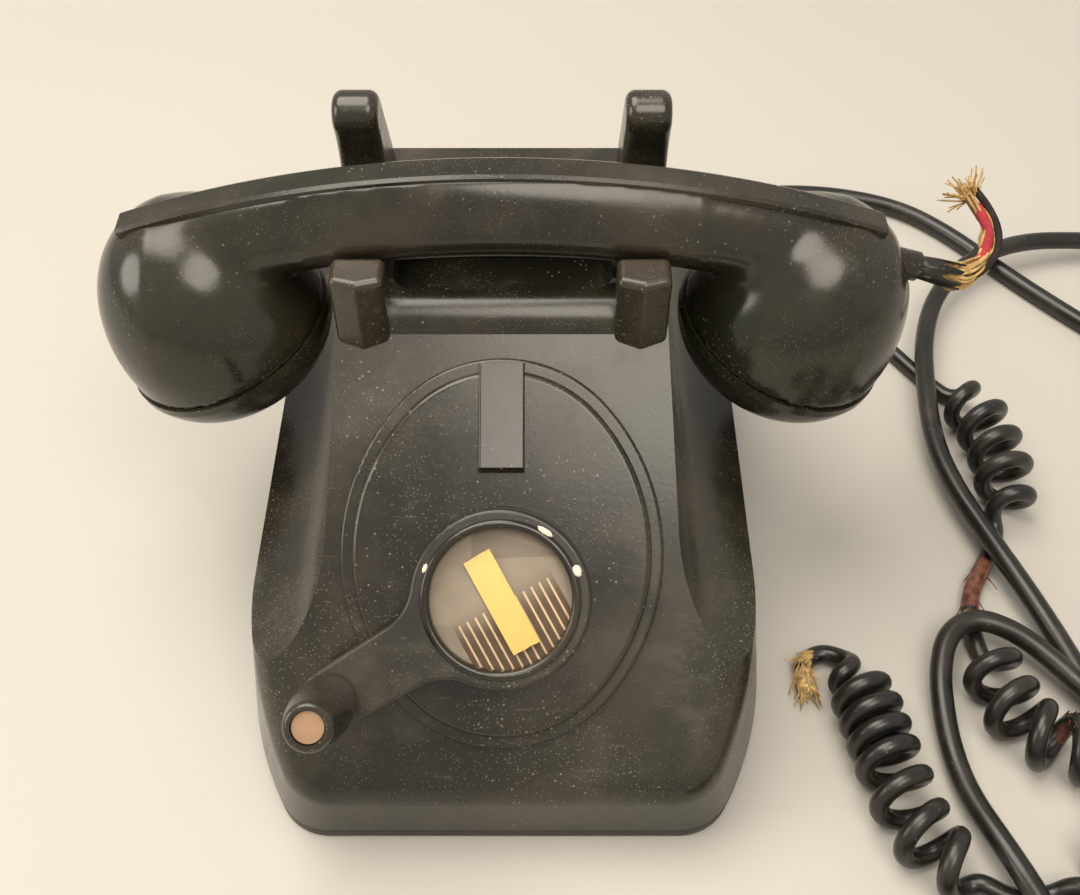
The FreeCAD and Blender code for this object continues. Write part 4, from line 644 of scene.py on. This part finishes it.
def curl_points(sizes):
    """Control points of the curly cord: its own route read as a spline, with curls wound about it."""
    lifted = [Vector((x, y, share * SHARE_LIFT)) for x, y, share in CURL_ROUTE]
    axis = read_line("curl_probe", lifted, 40)
    flat = [Vector((spot.x, spot.y, 0)) for spot in axis]
    lengths = lengths_along(flat)
    radius = sizes.curl_radius / MM
    tight_from = lengths[-1] - sizes.tight_length / MM
    wire = sizes.wire_diameter / MM / 2 + FLOOR_GAP
    step = 2 * math.pi / sizes.points_per_turn
    swell = swell_of(step)
    turn = 0.0
    kept_turn, kept_at = -step, -1e9
    points = []
    for index, spot in enumerate(flat):
        share = min(max(axis[index].z / SHARE_LIFT, 0.0), 1.0)
        if index:
            pitch = (sizes.tight_pitch if lengths[index] > tight_from else sizes.loose_pitch) / MM
            turn += 2 * math.pi * share * (lengths[index] - lengths[index - 1]) / pitch
        near = turn - kept_turn < step and lengths[index] - kept_at < LONGEST_STEP
        if near and index < len(flat) - 1:
            continue
        kept_turn, kept_at = turn, lengths[index]
        ahead = (flat[min(index + 1, len(flat) - 1)] - flat[max(index - 1, 0)]).normalized()
        aside = Vector((-ahead.y, ahead.x, 0))
        reach = radius * share * swell
        points.append(spot + aside * (reach * math.sin(turn))
                      + Vector((0, 0, wire + radius * share - reach * math.cos(turn))))
    if (points[-1] - points[-2]).length < CLOSEST_END:
        del points[-2]
    for _ in range(EASING_ROUNDS):
        for index in range(1, len(points) - 1):
            before, spot, after = points[index - 1:index + 2]
            if (spot - before).angle(after - spot) > SHARPEST_TURN:
                points[index] = spot.lerp((before + after) / 2, EASING)
    return points


# Operators

class TELEPHONE_OT_stage(bpy.types.Operator):
    """Floor, soft light and the camera"""
    bl_idname = "telephone.stage"
    bl_label = "Stage"

    def execute(self, context):
        scene = context.scene
        view = scene.telephone_view
        camera = bpy.data.cameras.new("view")
        camera.sensor_fit = "HORIZONTAL"
        camera.sensor_width = SENSOR
        camera.lens = view.focal_pixels / PHOTO_WIDTH * SENSOR
        camera.clip_start = 0.01
        stand = link(bpy.data.objects.new("view", camera))
        stand.location = view.place
        stand.rotation_euler = (math.pi / 2 - view.dip, 0, 0)
        scene.camera = stand
        bm = bmesh.new()
        bmesh.ops.create_grid(bm, x_segments=8, y_segments=8, size=FLOOR_HALF)
        mesh = bpy.data.meshes.new("floor")
        bm.to_mesh(mesh)
        bm.free()
        finish = Finish("floor_paint", Roughness=0.55, Specular_IOR_Level=0.3)
        tone = finish.noise(3, 2).span(0.3, 0.7)
        pale = tuple(scene.telephone_colours.floor)
        finish.set(Base_Color=finish.mix(tone * 0.25, pale, tuple(c * 0.93 for c in pale)))
        mesh.materials.append(finish.material)
        link(bpy.data.objects.new("floor", mesh))
        for light in LIGHTS:
            self.light(*light)
        world = bpy.data.worlds.new("room")
        world.use_nodes = True
        back = world.node_tree.nodes["Background"]
        back.inputs["Color"].default_value = ROOM_COLOUR
        back.inputs["Strength"].default_value = ROOM_STRENGTH
        scene.world = world
        scene.view_settings.view_transform = "Standard"
        return {"FINISHED"}

    @staticmethod
    def light(name, place, aim, size, power, colour):
        lamp = bpy.data.lights.new(name, "AREA")
        lamp.shape = "DISK"
        lamp.size = size
        lamp.energy = power
        lamp.color = colour
        obj = link(bpy.data.objects.new(name, lamp))
        obj.location = place
        obj.rotation_euler = (Vector(aim) - Vector(place)).to_track_quat("-Z", "Y").to_euler()


class TELEPHONE_OT_case(bpy.types.Operator):
    """Finishes of the housing, base and front plate"""
    bl_idname = "telephone.case"
    bl_label = "Case"

    def execute(self, context):
        colours = context.scene.telephone_colours
        moulding = moulding_finish("black_moulding", colours)
        for node in ("housing", "front_plate", "line_cord_gland", "handset_cord_gland", "stub_bush"):
            wear(node, moulding)
        wear("base_plate", moulding_finish("base_enamel", colours, 0.4, 0.6))
        wear("feet", plain_finish("foot_rubber", (0.03, 0.03, 0.03), 0.8))
        wear("base_screws", metal_finish("screw_steel", (0.42, 0.41, 0.39), 0.4))
        return {"FINISHED"}


class TELEPHONE_OT_crank(bpy.types.Operator):
    """Finishes of the crank, its label and tape"""
    bl_idname = "telephone.crank"
    bl_label = "Crank"

    def execute(self, context):
        colours = context.scene.telephone_colours
        wear("crank_arm", moulding_finish("crank_moulding", colours, 0.30, 1.4))
        wear("bezel_ring", moulding_finish("bezel_moulding", colours, 0.16, 0.3))
        wear("knob_grip", moulding_finish("knob_moulding", colours, 0.2, 0.5))
        wear("knob_pin", metal_finish("rivet_copper", (0.36, 0.22, 0.13), 0.55, 0.2, 0.25))
        wear("label_disc", label_finish("label_card", colours))
        window = Finish("window_clear", Base_Color=(0.30, 0.26, 0.20), Roughness=0.2, IOR=1.45)
        window.set(Transmission_Weight=0.0, Alpha=0.06, Specular_IOR_Level=0.3)
        wear("label_window", window.material)
        self.tape(colours)
        self.chips()
        return {"FINISHED"}

    @staticmethod
    def tape(colours):
        way, across = label_ways()
        top = (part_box("label_window")[0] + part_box("label_window")[1]) / 2
        level = (top - HUB).dot(OUTWARD) + WINDOW_HALF + TAPE_GAP
        middle = HUB + OUTWARD * level - UPSLOPE * TAPE_DOWN + RIGHT * TAPE_RIGHT
        bm = bmesh.new()
        bmesh.ops.create_grid(bm, x_segments=8, y_segments=24, size=0.5)
        shape = Matrix((across * TAPE_WIDE, way * TAPE_LONG, OUTWARD)).transposed().to_4x4()
        shape.translation = middle
        draw = random.Random(5)
        for vert in bm.verts:
            vert.co.z += draw.uniform(0, 0.00004)
            if abs(vert.co.y) > 0.499:
                vert.co.y += draw.uniform(-0.006, 0.006)
        bmesh.ops.transform(bm, matrix=shape, verts=bm.verts)
        bmesh.ops.recalc_face_normals(bm, faces=bm.faces)
        bmesh.ops.solidify(bm, geom=bm.faces[:], thickness=TAPE_THICK)
        finish = Finish("tape_paper", Roughness=0.75)
        stain = finish.noise(260, 4, 0.6).span(0.35, 0.75)
        lower = finish.along(way, HUB).span(-0.014, 0.014)
        warm = tuple(c * f for c, f in zip(colours.tape, (0.98, 0.8, 0.55)))
        tone = finish.mix(lower * 0.6, tuple(colours.tape), warm)
        finish.set(Base_Color=finish.mix(stain * 0.25, tone, tuple(c * 0.7 for c in colours.tape)))
        finish.bump(finish.noise(2500, 2), 0.00005, 0.4)
        piece_from_bmesh("paper_tape", bm, finish.material, "crank", smooth=False)

    @staticmethod
    def chips():
        """Three crumbs of pale filler left on the hub's rim."""
        draw = random.Random(11)
        bm = bmesh.new()
        top = (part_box("bezel_ring")[0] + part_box("bezel_ring")[1]) / 2
        level = (top - HUB).dot(OUTWARD) + CHIP_LIFT
        for bearing, length, width in CHIPS:
            angle = math.radians(bearing)
            out = RIGHT * math.cos(angle) + UPSLOPE * math.sin(angle)
            tangent = UPSLOPE * math.cos(angle) - RIGHT * math.sin(angle)
            made = bmesh.ops.create_icosphere(bm, subdivisions=3, radius=0.5)["verts"]
            for vert in made:
                vert.co *= 1 + draw.uniform(-0.16, 0.16)
            shape = Matrix((tangent * length, out * width, OUTWARD * CHIP_HIGH)).transposed().to_4x4()
            shape.translation = HUB + out * CHIP_RIM + OUTWARD * level
            bmesh.ops.transform(bm, matrix=shape, verts=made)
        bmesh.ops.recalc_face_normals(bm, faces=bm.faces)
        material = plain_finish("filler_crumbs", (0.78, 0.70, 0.55), 0.8, 0.3, 1500)
        piece_from_bmesh("filler_chips", bm, material, "crank")


class TELEPHONE_OT_handset(bpy.types.Operator):
    """The handset's moulded body with soft joins, its spine and caps"""
    bl_idname = "telephone.handset"
    bl_label = "Handset"

    def execute(self, context):
        colours = context.scene.telephone_colours
        moulding = moulding_finish("handset_moulding", colours, 0.16, 0.6)
        self.shell(moulding)
        self.spine(moulding)
        for node in ("receiver_cap", "transmitter_cap"):
            wear(node, moulding)
        return {"FINISHED"}

    @staticmethod
    def shell(moulding):
        """The CAD body closed to one skin, its joins of handle and cups smoothed to wide hollows."""
        bm = bmesh.new()
        bm.from_mesh(NODES["handset_body"].data)
        bmesh.ops.remove_doubles(bm, verts=bm.verts, dist=1e-6)
        mesh = bpy.data.meshes.new("handset_shell")
        bm.to_mesh(mesh)
        bm.free()
        obj = link(bpy.data.objects.new("handset_shell", mesh))
        remesh = obj.modifiers.new("skin", "REMESH")
        remesh.mode = "VOXEL"
        remesh.voxel_size = SKIN_VOXEL
        bpy.context.view_layer.update()
        skin = bpy.data.meshes.new_from_object(obj.evaluated_get(bpy.context.evaluated_depsgraph_get()))
        obj.modifiers.clear()
        obj.data = skin
        bm = bmesh.new()
        bm.from_mesh(skin)
        caps = [NODES[name] for name in ("receiver_cap", "transmitter_cap")]
        rims = [vert.co for cap in caps for vert in cap.data.vertices]
        seam = KDTree(len(rims))
        for index, spot in enumerate(rims):
            seam.insert(spot, index)
        seam.balance()
        free = [v for v in bm.verts if seam.find(v.co)[2] > SEAM_KEPT]
        soften(bm, free, SKIN_ROUNDS)
        joins = [v for v in free if JOIN_NEAR < abs(v.co.x) < JOIN_FAR and v.co.z > JOIN_LOW]
        soften(bm, joins, JOIN_ROUNDS)
        bm.to_mesh(skin)
        bm.free()
        skin.materials.clear()
        skin.materials.append(moulding)
        for polygon in skin.polygons:
            polygon.use_smooth = True
        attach(obj, "handset")
        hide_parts("handset_body")

    @staticmethod
    def spine(moulding):
        """The narrow flat ridge along the top of the handle, swept round the arch."""
        low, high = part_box("handset_body")
        middle_y = (low.y + high.y) / 2
        center = Vector((0, middle_y, ARCH_TOP - ARCH))
        bm = bmesh.new()
        rise = ARCH + HANDLE_HALF
        half, lift = SPINE_HALF, SPINE_LIFT
        shoulder = lift * 0.4
        profile = [(-half, -SPINE_SUNK), (-half, shoulder), (-half + lift, lift), (half - lift, lift),
                   (half, shoulder), (half, -SPINE_SUNK)]
        start = Matrix.Rotation(-SPINE_REACH, 4, "Y")
        verts = [bm.verts.new(start @ Vector((0, y, rise + z)) + center) for y, z in profile]
        edges = [bm.edges.new((a, b)) for a, b in zip(verts, verts[1:] + verts[:1])]
        bmesh.ops.spin(bm, geom=verts + edges, cent=center, axis=(0, 1, 0),
                       angle=2 * SPINE_REACH, steps=SPINE_STEPS)
        ends = [e for e in bm.edges if e.is_boundary]
        bmesh.ops.holes_fill(bm, edges=ends, sides=0)
        bmesh.ops.recalc_face_normals(bm, faces=bm.faces)
        piece_from_bmesh("handset_spine", bm, moulding, "handset", smooth=False)


class TELEPHONE_OT_line_cord(bpy.types.Operator):
    """The loose line cord, its coil and lugs"""
    bl_idname = "telephone.line_cord"
    bl_label = "Line cord"

    def execute(self, context):
        colours = context.scene.telephone_colours
        sizes = context.scene.telephone_cords
        start = Vector(LINE_EXIT)
        coil = coil_points()
        heading = (coil[1] - coil[0]).normalized()
        route = [start, start + EXIT_WAY * EXIT_RUN] + [Vector(p) for p in LINE_ROUTE]
        route += [coil[0] - heading * COIL_LEAD] + coil
        points = [p * MM for p in route]
        cord = new_curve("line_flex", [points], bevel=sizes.line_diameter / 2, sides=5, resolution=8)
        cord.data.materials.append(sheath_finish("line_sheath", colours))
        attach(cord, "base")
        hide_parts("line_cord", "line_cord_coil")
        line = read_line("line_probe", points)
        wear("line_cord_lugs", metal_finish("lug_brass", (0.62, 0.46, 0.24), 0.35))
        extras = [NODES["line_cord_lugs"], self.tie(sizes),
                  sleeve("line_relief", line, sizes.line_diameter / 2, colours)]
        return {"FINISHED"}

    @staticmethod
    def tie(sizes):
        """A narrow band round the turns of the put-away coil, half a turn from its start."""
        angle = COIL_START - math.pi
        out = Vector((math.cos(angle), math.sin(angle), 0))
        tangent = Vector((-math.sin(angle), math.cos(angle), 0))
        half_wide = (COIL_SPACING * MM + sizes.line_diameter) / 2 + TIE_GAP
        middle = (COIL_CENTER + out * COIL_RADIUS) * MM + Vector((0, 0, half_wide))
        bm = bmesh.new()
        ring = []
        for step in range(TIE_STEPS):
            turn = 2 * math.pi * step / TIE_STEPS
            wide = math.copysign(abs(math.cos(turn)) ** TIE_SQUARE, math.cos(turn)) * half_wide
            high = math.copysign(abs(math.sin(turn)) ** TIE_SQUARE, math.sin(turn)) * half_wide
            spot = middle + out * wide + Vector((0, 0, high))
            ring.append(bm.verts.new(spot - tangent * (TIE_BAND / 2)))
        edges = [bm.edges.new((a, b)) for a, b in zip(ring, ring[1:] + ring[:1])]
        wall = bmesh.ops.extrude_edge_only(bm, edges=edges)["geom"]
        far_side = [item for item in wall if isinstance(item, bmesh.types.BMVert)]
        bmesh.ops.translate(bm, verts=far_side, vec=tangent * TIE_BAND)
        bmesh.ops.recalc_face_normals(bm, faces=bm.faces)
        bmesh.ops.solidify(bm, geom=bm.faces[:], thickness=-TIE_THICK)
        for vert in bm.verts:
            vert.co.z = max(vert.co.z, TIE_LOWEST)
        material = plain_finish("tie_plastic", (0.045, 0.043, 0.04), 0.45)
        return piece_from_bmesh("coil_tie", bm, material, "base", smooth=False)


class TELEPHONE_OT_handset_cord(bpy.types.Operator):
    """The torn curly cord"""
    bl_idname = "telephone.handset_cord"
    bl_label = "Handset cord"

    def execute(self, context):
        colours = context.scene.telephone_colours
        sizes = context.scene.telephone_cords
        start = Vector(CURL_EXIT)
        curls = curl_points(sizes)
        route = [start, start + EXIT_WAY * EXIT_RUN] + [Vector(p) for p in LEAD_ROUTE] + curls
        points = [p * MM for p in route]
        cord = new_curve("curly_cord", [points], bevel=sizes.wire_diameter / 2, sides=5, resolution=4)
        tan = tuple(colours.cotton)
        brown = tuple(colours.bare_wire)
        bare = [(spot, reach, tan) for spot, reach in COTTON_SPOTS]
        bare += [(spot, reach, brown) for spot, reach in TEARS]
        cord.data.materials.append(sheath_finish("curl_sheath", colours, bare))
        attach(cord, "base")
        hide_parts("handset_cord_lead", "handset_cord")
        line = read_line("cord_probe", points, 8)
        cotton = yarn_finish("torn_cotton", tan)
        extras = [sleeve("curl_relief", line, sizes.wire_diameter / 2, colours),
                  self.fray("tail_fray", line, cotton, sizes, COTTON_SPOTS[:2], 90, 41),
                  self.fray("tear_fray", line, yarn_finish("torn_braid", brown), sizes, TEARS, 60, 43)]
        return {"FINISHED"}

    @staticmethod
    def fray(name, line, material, sizes, spots, count, seed):
        """Short loose threads that stand off the cord near the given spots."""
        draw = random.Random(seed)
        near = [frame for frame in frames_along(line)
                if any((frame[0] - Vector(spot) * MM).length < reach * MM for spot, reach in spots)]
        skin = sizes.wire_diameter / 2
        lines = []
        for _ in range(count):
            spot, ahead, aside, other = draw.choice(near)
            turn = draw.uniform(0, 2 * math.pi)
            out = aside * math.cos(turn) + other * math.sin(turn)
            root = spot + out * skin * 0.9
            lean = (ahead * draw.uniform(0.2, 1.0) + out * draw.uniform(0.0, 0.3)).normalized()
            reach = draw.uniform(*FRAY_REACH)
            bend = Vector((draw.uniform(-1, 1), draw.uniform(-1, 1), draw.uniform(-1, 1))) * FRAY_BEND
            thread = [root, root + lean * reach * 0.5 + bend * 0.5, root + lean * reach + bend]
            lines.append([Vector((p.x, p.y, max(p.z, FRAY_LOWEST))) for p in thread])
        return strands(name, lines, FRAY_THREAD, material, "base", sides=1, taper=0.5)


class TELEPHONE_OT_stub(bpy.types.Operator):
    """The torn stub at the handset, with its cotton and wires"""
    bl_idname = "telephone.stub"
    bl_label = "Torn stub"

    def execute(self, context):
        colours = context.scene.telephone_colours
        sizes = context.scene.telephone_cords
        root_spot = Vector(STUB_ROOT) + STUB_WAY * STUB_RUN
        route = [root_spot, root_spot + STUB_WAY * STUB_RUN] + [Vector(p) for p in STUB_ROUTE]
        line = read_line("stub_probe", [p * MM for p in route], 16)
        cotton = yarn_finish("cotton_filling", tuple(colours.cotton))
        draw = random.Random(21)
        along = frames_along(line)
        piece = self.filling(draw, along, sizes, cotton)
        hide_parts("handset_cord_stub")
        black = yarn_finish("black_braid", (0.035, 0.028, 0.022), 0.5)
        extras = [self.loose(draw, along, sizes, cotton),
                  self.wire("stub_red_wire", along, 0.40, 0.96, -0.0006, 0.0017,
                            yarn_finish("red_braid", tuple(colours.red_wire), 0.6)),
                  self.wire("stub_black_wire", along, 0.46, 0.99, 0.0026, 0.0012, black),
                  self.wire("stub_inner_braid", along, 0.22, 0.66, -0.0026, 0.0013, black),
                  self.flap(colours), self.fringe(along, cotton)]
        return {"FINISHED"}

    @staticmethod
    def filling(draw, along, sizes, cotton):
        """The twisted cotton, of which some strands run to the very end."""
        count = len(along)
        bunch = []
        for number in range(FILLING_STRANDS):
            turn = draw.uniform(0, 2 * math.pi)
            far = sizes.stub_diameter * 0.5 * math.sqrt(draw.uniform(0.05, 1.0))
            twist = draw.uniform(0.6, 1.4)
            last = count if number < FILLING_WHOLE else int(count * draw.uniform(0.5, 0.74))
            strand = []
            for index in (*range(0, last - 2, 3), last - 1):
                spot, _, aside, other = along[index]
                angle = turn + twist * index / count * math.pi
                wander = far * (1 + 0.35 * math.sin(index * 0.35 + number))
                strand.append(spot + (aside * math.cos(angle) + other * math.sin(angle)) * wander)
            bunch.append(strand)
        return strands("stub_cotton", bunch, FILLING_THREAD, cotton, "handset", sides=1)

    @staticmethod
    def loose(draw, along, sizes, cotton):
        """Loose strands that bulge from the cotton where the sheath is gone."""
        count = len(along)
        lines = []
        for _ in range(LOOSE_STRANDS):
            first = int(count * draw.uniform(0.06, 0.3))
            last = int(count * draw.uniform(0.45, 0.68))
            turn = draw.uniform(0, 2 * math.pi)
            far = sizes.stub_diameter * draw.uniform(0.45, 0.85)
            strand = []
            for index in range(first, last, 4):
                spot, _, aside, other = along[index]
                swell = far * math.sin(math.pi * (index - first + 4) / (last - first + 8))
                strand.append(spot + (aside * math.cos(turn) + other * math.sin(turn)) * swell)
            lines.append(strand)
        return strands("stub_loose_cotton", lines, LOOSE_THREAD, cotton, "handset",
                       sides=1)

    @staticmethod
    def wire(name, along, first, last, outwards, radius, material):
        """A torn wire beside the cotton, towards the outside of the stub's bend or its inside."""
        count = len(along)
        bend = Vector(STUB_BEND) * MM
        line = []
        for index in range(int(count * first), int(count * last), 3):
            spot, ahead = along[index][:2]
            out = spot - bend
            out = (out - ahead * out.dot(ahead)).normalized()
            line.append(spot + out * outwards + Vector((0, 0, 0.0008)))
        return strands(name, [line], radius, material, "handset", sides=3)

    @staticmethod
    def flap(colours):
        """The torn end of the black sheath."""
        draw = random.Random(8)
        root_spot = (Vector(STUB_ROOT) + STUB_WAY * STUB_RUN) * MM
        bm = bmesh.new()
        turn = STUB_WAY.to_track_quat("Z", "Y").to_matrix().to_4x4()
        turn.translation = root_spot + STUB_WAY * FLAP_AHEAD
        made = bmesh.ops.create_cone(bm, cap_ends=False, segments=28, radius1=FLAP_ROOT,
                                     radius2=FLAP_RIM, depth=FLAP_LENGTH)
        rim = [v for v in made["verts"] if v.co.z > 0]
        for vert in rim:
            vert.co.z += draw.uniform(*FLAP_TEAR)
            vert.co.x *= 1 + draw.uniform(-0.15, 0.2)
        bmesh.ops.transform(bm, matrix=turn, verts=bm.verts)
        bmesh.ops.recalc_face_normals(bm, faces=bm.faces)
        bmesh.ops.solidify(bm, geom=bm.faces[:], thickness=FLAP_THICK)
        rubber = sheath_finish("stub_sheath", colours)
        return piece_from_bmesh("stub_sheath", bm, rubber, "handset")

    @staticmethod
    def fringe(along, cotton):
        """Loose cotton at the very end."""
        draw = random.Random(33)
        spot, ahead, aside, other = along[-3]
        lines = []
        for _ in range(FRINGE_STRANDS):
            lean = ahead * 0.5 + aside * draw.uniform(-0.9, 0.9) + other * draw.uniform(-0.9, 0.9)
            lean = lean.normalized()
            reach = draw.uniform(*FRINGE_REACH)
            start = spot + (aside * draw.uniform(-1, 1) + other * draw.uniform(-1, 1)) * FRINGE_ROOT
            bend = Vector((draw.uniform(-1, 1), draw.uniform(-1, 1), draw.uniform(-1, 1))) * FRINGE_BEND
            lines.append([start, start + lean * reach * 0.5 + bend * 0.4, start + lean * reach + bend])
        return strands("stub_fringe", lines, FRINGE_THREAD, cotton, "handset", sides=1)


class TELEPHONE_OT_works(bpy.types.Operator):
    """Finishes of the magneto, bell, hook switch and circuit"""
    bl_idname = "telephone.works"
    bl_label = "Inner works"

    def execute(self, context):
        steel = metal_finish("plated_steel", (0.55, 0.54, 0.51), 0.32)
        iron = metal_finish("bare_iron", (0.22, 0.21, 0.20), 0.5)
        brass = metal_finish("aged_brass", (0.62, 0.45, 0.21), 0.33)
        bell = metal_finish("bell_nickel", (0.66, 0.64, 0.58), 0.18, 0.15)
        can = metal_finish("can_tin", (0.52, 0.52, 0.5), 0.42)
        black = plain_finish("switch_resin", (0.03, 0.028, 0.026), 0.4)
        copper = (0.48, 0.2, 0.08)
        finishes = {
            steel: ("clamp_bars", "clamp_screws", "drive_shaft", "armature_shaft", "magneto_pillars",
                    "magneto_front_plate", "magneto_rear_plate", "ringer_frame", "gong_posts",
                    "clapper", "switch_bracket"),
            iron: ("magnets", "pole_pieces", "armature_core", "ringer_cores", "coil_iron"),
            brass: ("shaft_bush", "drive_gear", "pinion", "magneto_bearings", "contact_springs",
                    "terminal_screws"),
            bell: ("gong_left", "gong_right"),
            can: ("capacitor", "receiver_capsule", "transmitter_capsule"),
            black: ("plungers", "plunger_yoke", "terminal_strip"),
            winding_finish("bell_winding", copper, (0, 0, 1)): ("ringer_coils",),
            winding_finish("coil_winding", copper, (0, 1, 0)): ("induction_coil",),
            winding_finish("armature_wire", copper, (1, 0, 0)): ("armature_winding",),
        }
        for material, names in finishes.items():
            for node in names:
                wear(node, material)
        return {"FINISHED"}


class TELEPHONE_PT_panel(bpy.types.Panel):
    """Pieces and finishes of the telephone"""
    bl_idname = "TELEPHONE_PT_panel"
    bl_label = "Crank Desk Telephone"
    bl_space_type = "VIEW_3D"
    bl_region_type = "UI"
    bl_category = "Telephone"

    def draw(self, context):
        layout = self.layout
        scene = context.scene
        for group in (scene.telephone_colours, scene.telephone_cords, scene.telephone_view):
            box = layout.box()
            for key in group.__annotations__:
                box.prop(group, key)
        for operator in OPERATORS:
            layout.operator(operator.bl_idname)


GROUPS = (TelephoneColours, CordSizes, ViewSizes)
OPERATORS = (TELEPHONE_OT_stage, TELEPHONE_OT_case, TELEPHONE_OT_crank, TELEPHONE_OT_handset,
             TELEPHONE_OT_line_cord, TELEPHONE_OT_handset_cord, TELEPHONE_OT_stub, TELEPHONE_OT_works)
CLASSES = (*GROUPS, *OPERATORS, TELEPHONE_PT_panel)


def register():
    for cls in CLASSES:
        bpy.utils.register_class(cls)
    bpy.types.Scene.telephone_colours = PointerProperty(type=TelephoneColours)
    bpy.types.Scene.telephone_cords = PointerProperty(type=CordSizes)
    bpy.types.Scene.telephone_view = PointerProperty(type=ViewSizes)


def unregister():
    del bpy.types.Scene.telephone_view
    del bpy.types.Scene.telephone_cords
    del bpy.types.Scene.telephone_colours
    for cls in reversed(CLASSES):
        bpy.utils.unregister_class(cls)


def main():
    register()
    for operator in OPERATORS:
        getattr(bpy.ops.telephone, operator.bl_idname.split(".")[1])()
    bpy.context.view_layer.update()


if __name__ == "__main__":
    main()
